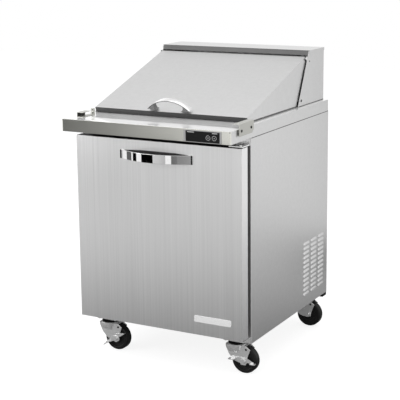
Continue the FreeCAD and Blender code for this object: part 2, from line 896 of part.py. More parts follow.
def door_handle():
    """A flat band bowed outwards in plan, with flat feet and a low back plate on the door."""
    middle = ("0", "-door_front - door_handle_out + door_handle_radius")
    tall = "door_handle_high - door_handle_low"
    outer = rod("door_handle_radius", tall, (*middle, "door_handle_low"), (0, 0, 1))
    inner_radius = "door_handle_radius - door_handle_thick"
    inner = rod(inner_radius, f"{tall} + 2 * over", (*middle, "door_handle_low - over"), (0, 0, 1))
    ahead = block(
        ("-door_handle_cut", "-door_front - door_handle_out - over", "door_handle_low"),
        ("door_handle_cut", "-door_front", "door_handle_high"),
    )
    bow = doc.addObject("Part::Common", "Common")
    bow.Base = cut(outer, inner)
    bow.Tool = ahead
    feet = []
    for side in (-1, 1):
        low, high = span(side, "foot_near", "foot_far")
        foot_low = (low, "-door_front - foot_thick", "door_handle_low")
        feet.append(block(foot_low, (high, "-door_front", "door_handle_high")))
    plate = block(
        ("-foot_near", "-door_front - back_plate_thick", "back_plate_low"),
        ("foot_near", "-door_front", "back_plate_high"),
    )
    node("door_handle", fuse(bow, plate, *feet))


def door_hinges():
    """Brackets on the cabinet front that carry the door's two pins."""
    spot = ("door_axis_side", "-door_axis_front")
    near = "door_axis_side - hinge_reach"
    far = f"{HALF} - hinge_arm"
    arm_front = "-door_axis_front - hinge_margin"
    wall_front = "-frame_front - hinge_wall"
    heights = {
        "top": {
            "arm": ("door_high + 2", "door_high + 2 + hinge_arm"),
            "wall": ("door_high + 2", "door_high + 2 + hinge_wall_tall"),
            "pin": ("door_high - hinge_pin_in", "door_high + hinge_pin_out"),
        },
        "bottom": {
            "arm": ("door_low - 2 - hinge_arm", "door_low - 2"),
            "wall": ("door_low - 2 - hinge_wall_tall", "door_low - 2"),
            "pin": ("door_low - hinge_pin_out", "door_low + hinge_pin_in"),
        },
    }
    for name, levels in heights.items():
        arm = block((near, arm_front, levels["arm"][0]), (far, "-frame_front", levels["arm"][1]))
        wall = block((near, wall_front, levels["wall"][0]), (far, "-frame_front", levels["wall"][1]))
        low, high = levels["pin"]
        pin = rod("door_pin", f"({high}) - ({low})", (*spot, low), (0, 0, 1))
        node(f"hinge_{name}", fuse(arm, wall, pin))


# --- controls ----------------------------------------------------------------------------------------


def controls():
    """A raised frame round a dark module with two press keys, let into the rail."""
    frame = block(
        ("bezel_left", f"{FRONT} - bezel_out", "bezel_low"), ("bezel_right", FRONT, "bezel_high")
    )
    window = block(
        ("panel_left", f"{FRONT} - over", "panel_low"), ("panel_right", f"{FRONT} + over", "panel_high")
    )
    node("control_bezel", cut(frame, window))
    module = block(
        ("panel_left", f"{FRONT} - panel_sunk", "panel_low"),
        ("panel_right", f"{FRONT} + recess_deep - panel_sunk", "panel_high"),
    )
    wells = []
    key_front = f"{FRONT} - bezel_out"
    for name in SIDES:
        x = f"key_{name}_side"
        wells.append(rod("key_radius + gap", "key_deep + 1.6", (x, key_front, "key_high"), (0, 1, 0)))
        node(f"key_{name}", rod("key_radius", "key_deep", (x, key_front, "key_high"), (0, 1, 0)))
    node("control_panel", cut(module, *wells))


# --- refrigeration -----------------------------------------------------------------------------------


def fan(name, radius, centre, axis):
    """A hub with five pitched blades; its own Z is the shaft's axis."""
    body = doc.addObject("PartDesign::Body", "Fan")
    hub_sketch = attach(body, "HubOutline", "XY", "-hub_long / 2")
    circle(hub_sketch, "hub_radius")
    circle(hub_sketch, "shaft_radius + fit")
    hub = body.newObject("PartDesign::Pad", "Hub")
    hub.Profile = hub_sketch
    hub.setExpression("Length", bound("hub_long"))
    blade_sketch = attach(body, "BladeOutline", "XY", "-blade_thick / 2")
    pitch_degrees = 24
    tilt = FreeCAD.Rotation(FreeCAD.Vector(1, 0, 0), pitch_degrees)
    half_thick = DIMENSIONS["blade_thick"] / 2
    blade_sketch.AttachmentOffset = FreeCAD.Placement(FreeCAD.Vector(0, 0, -half_thick), tilt)
    outline(blade_sketch, [("15", "-16"), (radius, "-24"), (radius, "20"), ("15", "14")])
    blade = body.newObject("PartDesign::Pad", "Blade")
    blade.Profile = blade_sketch
    blade.setExpression("Length", bound("blade_thick"))
    blades = body.newObject("PartDesign::PolarPattern", "Blades")
    blades.Originals = [blade]
    blades.Axis = (hub_sketch, ["N_Axis"])
    blades.Angle = 360
    blades.Occurrences = FAN_BLADES
    body.Tip = blades
    turn = FreeCAD.Rotation(FreeCAD.Vector(0, 0, 1), FreeCAD.Vector(*axis))
    body.Placement = FreeCAD.Placement(FreeCAD.Vector(), turn)
    return node(name, place(body, *centre))


def finned_coil(low, high, across, count, groove):
    """A block of fins: grooves are cut from its long faces, leaving the tube bundle in the middle."""
    coil = block(low, high)
    grooves = []
    for k in range(count):
        start = list(low)
        end = list(high)
        size = f"((({high[across]}) - ({low[across]})) / {count})"
        start[across] = f"({low[across]}) + {k} * {size} + fin_gap"
        end[across] = f"({low[across]}) + {k + 1} * {size}"
        for face in (-1, 1):
            near, far = list(start), list(end)
            if face < 0:
                near[groove] = f"({low[groove]}) - over"
                far[groove] = f"({low[groove]}) * 0.65 + ({high[groove]}) * 0.35"
            else:
                near[groove] = f"({low[groove]}) * 0.35 + ({high[groove]}) * 0.65"
                far[groove] = f"({high[groove]}) + over"
            grooves.append(block(near, far))
    return cut(coil, *grooves)


def condensing_unit():
    coil = (("coil_near", "coil_front", "coil_low"), ("coil_far", "coil_back", "coil_high"))
    node("condenser_coil", finned_coil(*coil, 1, CONDENSER_FINS, 0))
    plate = block(
        ("shroud_near", "coil_front - shroud_wall", FLOOR_TOP),
        ("coil_near", "coil_back + shroud_wall", "shroud_top"),
    )
    plenum = block(
        ("shroud_near + shroud_wall / 2", "coil_front", "coil_low"),
        ("coil_near + over", "coil_back", "coil_high"),
    )
    throat = rod("throat_radius", "4 * over", ("shroud_near - 7", "fan_middle", "fan_high"), (1, 0, 0))
    node("condenser_shroud", cut(plate, plenum, throat))
    fan("condenser_fan", "condenser_blade", ("fan_side", "fan_middle", "fan_high"), (1, 0, 0))
    dome = rod("pot_radius", "pot_tall", ("pot_side", "pot_back", "pot_low"), (0, 0, 1))
    pot = doc.addObject("Part::Fillet", "Pot")
    pot.Base = dome
    pot.Edges = [(1, 38, 38), (3, 30, 30)]
    foot = block(
        ("pot_side - pot_foot", "pot_back - pot_foot", f"{FLOOR_TOP} + 8"),
        ("pot_side + pot_foot", "pot_back + pot_foot", "pot_low + over"),
    )
    node("compressor", fuse(pot, foot))
    tray = block(
        ("tray_near", "tray_front", FLOOR_TOP), ("tray_far", "tray_back", f"{FLOOR_TOP} + tray_tall")
    )
    dip = block(
        ("tray_near + tray_wall", "tray_front + tray_wall", f"{FLOOR_TOP} + tray_wall"),
        ("tray_far - tray_wall", "tray_back - tray_wall", f"{FLOOR_TOP} + tray_tall + over"),
    )
    node("drain_pan", cut(tray, dip))


def evaporator():
    wall = "duct_wall"
    duct = block(
        ("-duct_half", "duct_front", "duct_low"), ("duct_half", "liner_deep - liner_wall", "duct_high")
    )
    inside = block(
        (f"{wall} - duct_half", f"duct_front + {wall}", f"duct_low + {wall}"),
        (f"duct_half - {wall}", "liner_deep + over", f"duct_high - {wall}"),
    )
    inlet_start = ("cold_fan_side", "duct_front - over", "cold_fan_high")
    inlet = rod("duct_inlet", "4 * over", inlet_start, (0, 1, 0))
    outlets = []
    for k in range(8):
        x = f"({60 * k} - 230)"
        outlet_low = (x, "duct_front + 16", "duct_high - over")
        outlets.append(block(outlet_low, (f"{x} + 40", "duct_front + 34", "duct_high + over")))
    riser = rod("riser_hole", "4 * over", ("riser_side", "riser_back", "duct_low - 2 * over"), (0, 0, 1))
    node("air_duct", cut(duct, inside, inlet, riser, *outlets))
    coil = (
        ("cold_coil_left", "cold_coil_front", "cold_coil_low"),
        ("cold_coil_right", "cold_coil_back", "cold_coil_high"),
    )
    node("evaporator_coil", finned_coil(*coil, 0, EVAPORATOR_FINS, 1))
    cold_fan = ("cold_fan_side", "cold_fan_front", "cold_fan_high")
    fan("evaporator_fan", "evaporator_blade", cold_fan, (0, 1, 0))
    condenser_motor = fuse(
        rod("motor_radius", "motor_long", ("motor_side", "fan_middle", "fan_high"), (1, 0, 0)),
        rod("shaft_radius", "64", ("fan_side - 52", "fan_middle", "fan_high"), (1, 0, 0)),
        block(("205", "fan_middle - 10", FLOOR_TOP), ("225", "fan_middle + 10", "fan_high - 20")),
    )
    motor_start = ("cold_fan_side", "cold_motor_front", "cold_fan_high")
    evaporator_motor = fuse(
        rod("cold_motor_radius", "cold_motor_long", motor_start, (0, 1, 0)),
        rod("shaft_radius", "50", ("cold_fan_side", "cold_fan_front - 9", "cold_fan_high"), (0, 1, 0)),
    )
    node("fan_motors", group(condenser_motor, evaporator_motor))


def tube(points, radius, bend):
    """A tube of straight runs joined by tangent arcs through a list of corner points."""
    edges = []
    start = points[0]
    for before, corner, after in zip(points, points[1:], points[2:]):
        back = (before - corner).normalize()
        ahead = (after - corner).normalize()
        half_turn = (math.pi - back.getAngle(ahead)) / 2
        reach = bend * math.tan(half_turn)
        enter = corner + back * reach
        leave = corner + ahead * reach
        toward = (back + ahead).normalize()
        middle = corner + toward * (bend / math.cos(half_turn) - bend)
        edges.append(Part.LineSegment(start, enter).toShape())
        edges.append(Part.Arc(enter, middle, leave).toShape())
        start = leave
    edges.append(Part.LineSegment(start, points[-1]).toShape())
    path = Part.Wire(edges)
    section = Part.Wire([Part.Circle(points[0], points[1] - points[0], radius).toShape()])
    return path.makePipeShell([section], True, False)


def refrigerant_lines():
    """Discharge line from the compressor to the condenser, and the line that rises to the evaporator."""
    line_radius = 4
    bend = 11
    vector = FreeCAD.Vector
    pot = vector(DIMENSIONS["pot_side"], DIMENSIONS["pot_back"], 0)
    pot_top = DIMENSIONS["pot_low"] + DIMENSIONS["pot_tall"]
    pot_edge = DIMENSIONS["pot_side"] + DIMENSIONS["pot_radius"]
    coil_middle = (DIMENSIONS["coil_near"] + DIMENSIONS["coil_far"]) / 2 - 0.5
    coil_top = DIMENSIONS["coil_high"]
    over_shroud = DIMENSIONS["shroud_top"] + 8
    under_foam = 372
    side = DIMENSIONS["riser_side"]
    back = DIMENSIONS["riser_back"]
    discharge = [
        vector(pot.x, pot.y, pot_top + 0.2),
        vector(pot.x, pot.y, 355),
        vector(-20, 230, 355),
        vector(240, 230, over_shroud),
        vector(coil_middle, 230, over_shroud),
        vector(coil_middle, 230, coil_top + 0.2),
    ]
    riser = [
        vector(pot_edge + 0.2, pot.y, 240),
        vector(-20, pot.y, 240),
        vector(-20, 380, 300),
        vector(-60, 400, under_foam),
        vector(side, back, under_foam),
        vector(side, back, DIMENSIONS["duct_low"] + 20),
    ]
    lines = doc.addObject("Part::Feature", "Lines")
    lines.Shape = Part.Compound([tube(points, line_radius, bend) for points in (discharge, riser)])
    node("refrigerant_lines", lines)


def rear_fittings():
    """The gland that the supply cord passes through, and two rubber bumpers low on the back."""
    barrel = rod("gland_radius", "9", ("gland_side", f"{BACK} - 8", GLAND_HIGH), (0, 1, 0))
    flange = rod("gland_flange", "3", ("gland_side", f"{BACK} - steel", GLAND_HIGH), (0, 1, 0))
    passage = rod("gland_bore", "6 * over", ("gland_side", f"{BACK} - 4 * over", GLAND_HIGH), (0, 1, 0))
    node("cord_gland", cut(fuse(barrel, flange), passage))
    blocks = []
    for side in (-1, 1):
        low, high = span(side, "bumper_near", f"{HALF} - 2")
        bumper_low = (low, "bumper_front", "caster_height - bumper_tall")
        blocks.append(block(bumper_low, (high, f"{BACK} + bumper_out", "caster_height - skirt")))
    node("rear_bumpers", group(*blocks))


# --- casters -----------------------------------------------------------------------------------------


def caster_plate():
    """A top plate with its kingpin and the pin's riveted end."""
    plate = block(
        ("-plate_half_long", "-plate_half_wide", "caster_height - plate_thick"),
        ("plate_half_long", "plate_half_wide", "caster_height"),
    )
    pin = rod("kingpin", "19", ("0", "0", "caster_height - 22"), (0, 0, 1))
    rivet = rod("kingpin + 5", "2.5", ("0", "0", "caster_height - 23.3"), (0, 0, 1))
    return fuse(plate, pin, rivet)


def fork():
    """Two cheeks under a crown and a bearing cup, with the axle bolt as a second solid."""
    crown_back = "-38"
    crown_front = "44"
    cheek = [
        (crown_back, "crown_top"),
        (crown_front, "crown_top"),
        ("62", "94"),
        ("caster_trail + 12", "60"),
        ("caster_trail + 10", "42"),
        ("caster_trail - 8", "40"),
        ("caster_trail - 16", "48"),
        ("-37", "96"),
    ]
    solids = [
        prism("XZ", cheek, "-cheek_out", "cheek_thick"),
        prism("XZ", cheek, "cheek_out - cheek_thick", "cheek_thick"),
        block(
            (crown_back, "-cheek_out", "crown_top - cheek_thick"), (crown_front, "cheek_out", "crown_top")
        ),
        rod("cup_radius", "11", ("0", "0", "crown_top - 1"), (0, 0, 1)),
    ]
    bore = rod("kingpin + fit", "8 * over", ("0", "0", "crown_top - 17"), (0, 0, 1))
    recess = rod("kingpin + 6", "3.1", ("0", "0", "crown_top - 3.6"), (0, 0, 1))
    eye = rod("axle", "60", ("caster_trail", "-30", "wheel_radius"), (0, 1, 0))
    frame = cut(fuse(*solids), bore, recess, eye)
    bolt = fuse(
        rod("axle", "55", ("caster_trail", "-29", "wheel_radius"), (0, 1, 0)),
        rod("nut_radius", "3", ("caster_trail", "-29", "wheel_radius"), (0, 1, 0)),
        rod("nut_radius", "5", ("caster_trail", "cheek_out", "wheel_radius"), (0, 1, 0)),
    )
    return group(frame, bolt)


def wheel():
    """A tyre with round shoulders, a hub, and a ring sunk into each side."""
    tyre = rod("wheel_radius", "2 * wheel_half", ("0", "-wheel_half", "0"), (0, 1, 0))
    tread = doc.addObject("Part::Fillet", "Tread")
    tread.Base = tyre
    tread.Edges = [(edge, DIMENSIONS["tread_round"], DIMENSIONS["tread_round"]) for edge in (1, 3)]
    hub = rod("hub_wide", "2 * (wheel_half + hub_proud)", ("0", "-wheel_half - hub_proud", "0"), (0, 1, 0))
    rings = []
    for start in ("-wheel_half - over", "wheel_half - ring_deep"):
        outer = rod("ring_outer", "ring_deep + over", ("0", start, "0"), (0, 1, 0))
        inner = rod("ring_inner", "ring_deep + over", ("0", start, "0"), (0, 1, 0))
        rings.append(cut(outer, inner))
    bore = rod("axle + fit", "60", ("0", "-30", "0"), (0, 1, 0))
    return cut(fuse(tread, hub), *rings, bore)


def brake():
    """A pedal plate on the axle bolt with a tread at the end of each arm."""
    plate = [
        ("-50", "2"),
        ("-16", "-5"),
        ("-9", "-16"),
        ("9", "-16"),
        ("16", "-5"),
        ("42", "-7"),
        ("42", "-1"),
        ("14", "12"),
        ("-14", "12"),
        ("-50", "8"),
    ]
    arms = fuse(
        prism("XZ", plate, "-24", "pedal_thick"),
        block(("-56", "-38", "2"), ("-34", "-21", "2 + pedal_thick")),
        block(("30", "-34", "-7"), ("50", "-21", "pedal_thick - 7")),
    )
    return cut(arms, rod("axle + fit", "30", ("0", "-40", "0"), (0, 1, 0)))


def casters():
    plates = []
    for place_name, x_side, y in (
        ("front_left", -1, "-caster_front"),
        ("front_right", 1, "-caster_front"),
        ("back_left", -1, "caster_back"),
        ("back_right", 1, "caster_back"),
    ):
        x = f"{x_side} * caster_side"
        plates.append(place(caster_plate(), x, y))
        node(f"fork_{place_name}", place(fork(), x, y))
        node(f"wheel_{place_name}", place(wheel(), f"{x} + caster_trail", y, "wheel_radius"))
        if place_name.startswith("front"):
            pedal = brake()
            if x_side < 0:
                pedal.Placement.Rotation = FreeCAD.Rotation(FreeCAD.Vector(0, -1, 0), 36)
            node(f"brake_{place_name}", place(pedal, f"{x} + caster_trail", y, "wheel_radius"))
    node("caster_plates", group(*plates))


# --- build, check and write --------------------------------------------------------------------------

cabinet_shell()
cold_compartment()
worktop()
pans()
hood()
board_brackets()
lid()
lid_handle()
door()
door_handle()
door_hinges()
controls()
condensing_unit()
evaporator()
refrigerant_lines()
rear_fittings()
casters()
doc.recompute()

for item in doc.Objects:
    if "Invalid" in item.State or "Error" in item.State:
        raise RuntimeError(f"{item.Label} ({item.Name}) failed: {item.State}")
for piece in pieces:
    if piece.Shape.isNull() or not piece.Shape.isValid() or not piece.Shape.Solids:
        raise RuntimeError(f"{piece.Label} has no valid solid")

os.makedirs("parts", exist_ok=True)
for piece in pieces:
    piece.Shape.exportStep(f"parts/{piece.Label}.step")
    box = piece.Shape.BoundBox
    spans = ((box.XMin, box.XMax), (box.YMin, box.YMax), (box.ZMin, box.ZMax))
    extent = "  ".join(f"{low:7.1f} {high:7.1f}" for low, high in spans)
    print(f"{piece.Label:20s} {len(piece.Shape.Solids):2d} {piece.Shape.Volume / 1000:9.1f} cm3  {extent}")
print(len(pieces), "nodes")
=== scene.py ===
"""The looks of a sandwich prep table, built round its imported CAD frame.

Everything is in metres and in the CAD's own frame: X to the right, Y to the back, Z up, and the origin on
the floor under the worktop. Sizes are given in millimetres times MM.
"""

import json
import math

import bmesh
import bpy
from mathutils import Matrix, Vector

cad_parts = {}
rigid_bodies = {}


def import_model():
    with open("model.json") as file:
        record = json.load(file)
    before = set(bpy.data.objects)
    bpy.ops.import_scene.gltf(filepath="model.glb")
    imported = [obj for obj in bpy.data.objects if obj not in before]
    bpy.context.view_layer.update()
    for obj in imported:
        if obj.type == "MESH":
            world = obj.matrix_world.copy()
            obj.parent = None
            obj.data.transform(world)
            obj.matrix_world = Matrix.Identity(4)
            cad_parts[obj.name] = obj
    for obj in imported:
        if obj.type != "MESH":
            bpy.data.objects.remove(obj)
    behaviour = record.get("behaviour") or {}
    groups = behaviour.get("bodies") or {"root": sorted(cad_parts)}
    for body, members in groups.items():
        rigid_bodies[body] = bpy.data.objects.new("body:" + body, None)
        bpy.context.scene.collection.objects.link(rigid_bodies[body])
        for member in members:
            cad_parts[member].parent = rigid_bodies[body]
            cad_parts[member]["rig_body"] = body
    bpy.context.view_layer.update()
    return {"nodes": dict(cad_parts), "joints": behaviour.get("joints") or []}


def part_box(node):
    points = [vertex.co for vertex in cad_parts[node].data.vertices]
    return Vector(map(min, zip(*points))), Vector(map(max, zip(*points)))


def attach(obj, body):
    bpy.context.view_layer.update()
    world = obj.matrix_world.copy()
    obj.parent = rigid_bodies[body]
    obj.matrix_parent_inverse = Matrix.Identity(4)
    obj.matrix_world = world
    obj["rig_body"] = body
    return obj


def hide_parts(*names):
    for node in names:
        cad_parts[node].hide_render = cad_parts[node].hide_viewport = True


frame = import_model()

MM = 0.001
LID_SLOPE = math.radians(18.18)
WHEEL_RADIUS = 50.8 * MM
CASTER_TRAIL = 36 * MM
SHARP_ANGLE = math.radians(40)
BEVEL_ANGLE = math.radians(30)
TOUCH = 0.001 * MM

# --- camera, floor and light ---------------------------------------------------------------------------

CAMERA_AZIMUTH = math.radians(28.631)
CAMERA_ELEVATION = math.radians(11.036)
CAMERA_ROLL = math.radians(-0.611)
CAMERA_DISTANCE = 4547.45 * MM
CAMERA_TARGET = Vector((-7.84, 0, 727.06)) * MM
CAMERA_LENS = 105.2
CAMERA_SHIFT = -0.1


def add_camera():
    """A camera at the photograph's viewing angle."""
    data = bpy.data.cameras.new("camera")
    data.lens = CAMERA_LENS
    data.shift_y = CAMERA_SHIFT
    data.clip_end = 100
    camera = bpy.data.objects.new("camera", data)
    bpy.context.scene.collection.objects.link(camera)
    flat = math.cos(CAMERA_ELEVATION)
    right = math.sin(CAMERA_AZIMUTH) * flat
    front = math.cos(CAMERA_AZIMUTH) * flat
    back = Vector((right, -front, math.sin(CAMERA_ELEVATION)))
    aim = (-back).to_track_quat("-Z", "Y").to_matrix().to_4x4()
    roll = Matrix.Rotation(CAMERA_ROLL, 4, "Z")
    camera.matrix_world = Matrix.Translation(CAMERA_TARGET + back * CAMERA_DISTANCE) @ aim @ roll
    bpy.context.scene.camera = camera


def add_node(tree, kind, **settings):
    """A shader node with its properties and its named or numbered input values set."""
    made = tree.nodes.new(kind)
    for key, value in settings.items():
        if hasattr(made, key):
            setattr(made, key, value)
        else:
            made.inputs[key.replace("_", " ")].default_value = value
    return made


def ramp(tree, stops):
    """A colour ramp of greys: each stop is a position and a brightness."""
    made = tree.nodes.new("ShaderNodeValToRGB")
    elements = made.color_ramp.elements
    while len(elements) < len(stops):
        elements.new(0.5)
    for element, (position, brightness) in zip(elements, stops):
        element.position = position
        element.color = (brightness, brightness, brightness, 1)
    return made


# From straight down to straight up: each stop is a height from 0 to 1 and a brightness.
SKY = [(0.0, 0.10), (0.42, 0.25), (0.50, 0.95), (0.56, 1.12), (0.66, 1.06), (0.80, 0.78), (0.90, 0.72),
       (1.0, 0.25)]


def add_world():
    """A white studio: the camera sees plain white, and other rays a sky brightest over the horizon."""
    world = bpy.data.worlds.new("studio")
    bpy.context.scene.world = world
    world.use_nodes = True
    tree = world.node_tree
    tree.nodes.clear()
    output = tree.nodes.new("ShaderNodeOutputWorld")
    light = tree.nodes.new("ShaderNodeBackground")
    backdrop = add_node(tree, "ShaderNodeBackground", Color=(1, 1, 1, 1), Strength=1.0)
    path = tree.nodes.new("ShaderNodeLightPath")
    choose = tree.nodes.new("ShaderNodeMixShader")
    direction = tree.nodes.new("ShaderNodeTexCoord")
    height = tree.nodes.new("ShaderNodeSeparateXYZ")
    spread = add_node(tree, "ShaderNodeMapRange")
    spread.inputs["From Min"].default_value = -1
    sky = ramp(tree, SKY)
    tree.links.new(direction.outputs["Generated"], height.inputs[0])
    tree.links.new(height.outputs["Z"], spread.inputs["Value"])
    tree.links.new(spread.outputs[0], sky.inputs[0])
    tree.links.new(sky.outputs[0], light.inputs["Color"])
    tree.links.new(path.outputs["Is Camera Ray"], choose.inputs[0])
    tree.links.new(light.outputs[0], choose.inputs[1])
    tree.links.new(backdrop.outputs[0], choose.inputs[2])
    tree.links.new(choose.outputs[0], output.inputs["Surface"])


FLOOR_HALF = 9.0
# Where the floor's painted shadow starts to pale and where it ends, in metres from the origin.
FLOOR_PAINTED_SHADOW_NEAR = 0.3
FLOOR_PAINTED_SHADOW_FAR = 5.5


def add_floor():
    """A plain pale floor, evenly pale to the camera, with a painted shadow round the object for other rays.
    """
    bm = bmesh.new()
    bmesh.ops.create_grid(bm, x_segments=1, y_segments=1, size=FLOOR_HALF)
    mesh = bpy.data.meshes.new("floor")
    bm.to_mesh(mesh)
    bm.free()
    floor = bpy.data.objects.new("floor", mesh)
    bpy.context.scene.collection.objects.link(floor)
    material = bpy.data.materials.new("floor")
    material.use_nodes = True
    tree = material.node_tree
    tree.nodes.clear()
    output = tree.nodes.new("ShaderNodeOutputMaterial")
    path = tree.nodes.new("ShaderNodeLightPath")
    choose = tree.nodes.new("ShaderNodeMixShader")
    pale = add_node(tree, "ShaderNodeBsdfDiffuse", Color=(0.30, 0.30, 0.30, 1))
    glow = add_node(tree, "ShaderNodeEmission", Color=(1, 1, 1, 1), Strength=0.84)
    seen = tree.nodes.new("ShaderNodeAddShader")
    # To all rays but the camera's the floor only glows, with a painted shadow: darkest near the object,
    # paler further out.
    painted_shadow_glow = tree.nodes.new("ShaderNodeEmission")
    place = tree.nodes.new("ShaderNodeTexCoord")
    distance = add_node(tree, "ShaderNodeVectorMath", operation="LENGTH")
    reach = add_node(tree, "ShaderNodeMapRange")
    reach.inputs["From Min"].default_value = FLOOR_PAINTED_SHADOW_NEAR
    reach.inputs["From Max"].default_value = FLOOR_PAINTED_SHADOW_FAR
    painted_shadow_ramp = ramp(tree, [(0.0, 0.14), (0.12, 0.34), (0.38, 0.80), (0.8, 0.98)])
    tree.links.new(place.outputs["Object"], distance.inputs[0])
    tree.links.new(distance.outputs["Value"], reach.inputs["Value"])
    tree.links.new(reach.outputs[0], painted_shadow_ramp.inputs[0])
    tree.links.new(painted_shadow_ramp.outputs[0], painted_shadow_glow.inputs["Color"])
    tree.links.new(pale.outputs[0], seen.inputs[0])
    tree.links.new(glow.outputs[0], seen.inputs[1])
    tree.links.new(path.outputs["Is Camera Ray"], choose.inputs[0])
    tree.links.new(painted_shadow_glow.outputs[0], choose.inputs[1])
    tree.links.new(seen.outputs[0], choose.inputs[2])
    tree.links.new(choose.outputs[0], output.inputs["Surface"])
    mesh.materials.append(material)


def add_light(name, place, size, power):
    """A large soft panel light aimed at the point that the camera looks at."""
    data = bpy.data.lights.new(name, "AREA")
    data.shape = "RECTANGLE"
    data.size, data.size_y = size
    data.energy = power
    light = bpy.data.objects.new(name, data)
    bpy.context.scene.collection.objects.link(light)
    aim = (CAMERA_TARGET - Vector(place)).to_track_quat("-Z", "Y")
    light.matrix_world = Matrix.Translation(place) @ aim.to_matrix().to_4x4()


# Each card stands on an arc round the door handle: its distance, its two bearings in degrees from the
# front, its lower and upper height above the floor, and how bright it is at its start and its end.
CARDS = (
    (2.0, -82, -70, 0.30, 0.50, 0.13, 0.13),
    (2.0, -66.5, -58.5, 0.30, 0.50, 0.0, 0.0),
    (2.0, -48, -25.5, 0.30, 0.50, 0.0, 0.0),
    (2.0, -25, -3, 0.30, 0.50, 0.66, 0.50),
    (2.0, 7, 17, 0.30, 0.50, 0.16, 0.20),
    (2.0, 17, 40, 0.30, 0.50, 0.26, 0.34),
    (2.0, -50, -12, 0.50, 0.80, 0.10, 1.08),
    (1.5, 149, 172, 0.20, 1.5, 0.84, 0.32),
    (1.5, 149, 172, 0.0, 0.20, 0.26, 0.16),
)
CARD_STEPS = 8
CARD_EASE = 1.5


def add_cards():
    """Glowing studio cards round the object, seen only in its reflections."""
    centre = Vector((0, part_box("door_handle")[0].y, 0))
    for number, (distance, start, end, low, high, left, right) in enumerate(CARDS):
        bm = bmesh.new()
        shade = bm.loops.layers.float_color.new("shade")
        for k in range(CARD_STEPS):
            corners = []
            for step, z in ((k, low), (k, high), (k + 1, high), (k + 1, low)):
                turn = math.radians(start + (end - start) * step / CARD_STEPS)
                spot = centre + Vector((math.sin(turn), -math.cos(turn), 0)) * distance
                corners.append(bm.verts.new((spot.x, spot.y, z)))
            face = bm.faces.new(corners)
            for loop, step in zip(face.loops, (k, k, k + 1, k + 1)):
                glow = left + (right - left) * (step / CARD_STEPS) ** CARD_EASE
                loop[shade] = (glow, glow, glow, 1)
        mesh = bpy.data.meshes.new(f"card_{number}")
        bm.to_mesh(mesh)
        bm.free()
        card = bpy.data.objects.new(f"card_{number}", mesh)
        bpy.context.scene.collection.objects.link(card)
        mesh.materials.append(card_finish())
        card.visible_camera = False
        card.visible_diffuse = False
        card.visible_shadow = False


def card_finish():
    """A card that glows as its corners are shaded."""
    material = bpy.data.materials.new("card")
    material.use_nodes = True
    tree = material.node_tree
    tree.nodes.clear()
    output = tree.nodes.new("ShaderNodeOutputMaterial")
    shade = add_node(tree, "ShaderNodeAttribute", attribute_name="shade")
    glow = tree.nodes.new("ShaderNodeEmission")
    tree.links.new(shade.outputs["Color"], glow.inputs["Color"])
    tree.links.new(glow.outputs[0], output.inputs["Surface"])
    return material


add_camera()
add_cards()
add_world()
add_floor()
add_light("overhead", (0.0, -0.4, 4.2), (5.0, 5.0), 54)
add_light("left_front", (-3.2, -3.4, 2.0), (2.8, 3.2), 88)
bpy.context.scene.view_settings.view_transform = "Standard"

# --- materials -----------------------------------------------------------------------------------------


def noise(tree, coordinates, stretch, detail):
    """Noise in the object's own space, with one scale along each axis, in cells per metre."""
    mapping = add_node(tree, "ShaderNodeMapping", Scale=stretch)
    made = add_node(tree, "ShaderNodeTexNoise", Scale=1.0, Detail=detail, Roughness=0.55)
    tree.links.new(coordinates, mapping.inputs["Vector"])
    tree.links.new(mapping.outputs[0], made.inputs["Vector"])
    return made.outputs[0]


def spread_to(tree, value, low, high):
    """Takes the middle of a noise's range to a low and a high value."""
    made = tree.nodes.new("ShaderNodeMapRange")
    for key, number in (("From Min", 0.3), ("From Max", 0.7), ("To Min", low), ("To Max", high)):
        made.inputs[key].default_value = number
    tree.links.new(value, made.inputs["Value"])
    return made.outputs[0]


GRAIN_SHARE = 0.6


def grained(name, dark, light, rough, metallic=1.0, fine=(600, 600, 600), coarse=(9, 9, 9), bump=0.00002,
            **sockets):
    """A finish whose colour and roughness vary with a fine grain and a coarse mottle, and its height with
    the grain."""
    material = bpy.data.materials.new(name)
    material.use_nodes = True
    tree = material.node_tree
    finish = tree.nodes["Principled BSDF"]
    finish.inputs["Metallic"].default_value = metallic
    for key, value in sockets.items():
        finish.inputs[key.replace("_", " ")].default_value = value
    place = tree.nodes.new("ShaderNodeTexCoord").outputs["Object"]
    grain = noise(tree, place, fine, 3.0)
    mottle = noise(tree, place, coarse, 2.0)
    both = add_node(tree, "ShaderNodeMix", data_type="FLOAT")
    both.inputs["Factor"].default_value = GRAIN_SHARE
    tree.links.new(mottle, both.inputs["A"])
    tree.links.new(grain, both.inputs["B"])
    blended = both.outputs["Result"]
    colour = add_node(tree, "ShaderNodeMix", data_type="RGBA")
    colour.inputs["A"].default_value = (*dark, 1)
    colour.inputs["B"].default_value = (*light, 1)
    tree.links.new(spread_to(tree, blended, 0, 1), colour.inputs["Factor"])
    tree.links.new(colour.outputs["Result"], finish.inputs["Base Color"])
    tree.links.new(spread_to(tree, blended, *rough), finish.inputs["Roughness"])
    relief = add_node(tree, "ShaderNodeBump", Strength=1.0, Distance=bump)
    tree.links.new(grain, relief.inputs["Height"])
    tree.links.new(relief.outputs[0], finish.inputs["Normal"])
    return material


def grey(value, tint=(1, 1, 1)):
    return tuple(value * part for part in tint)


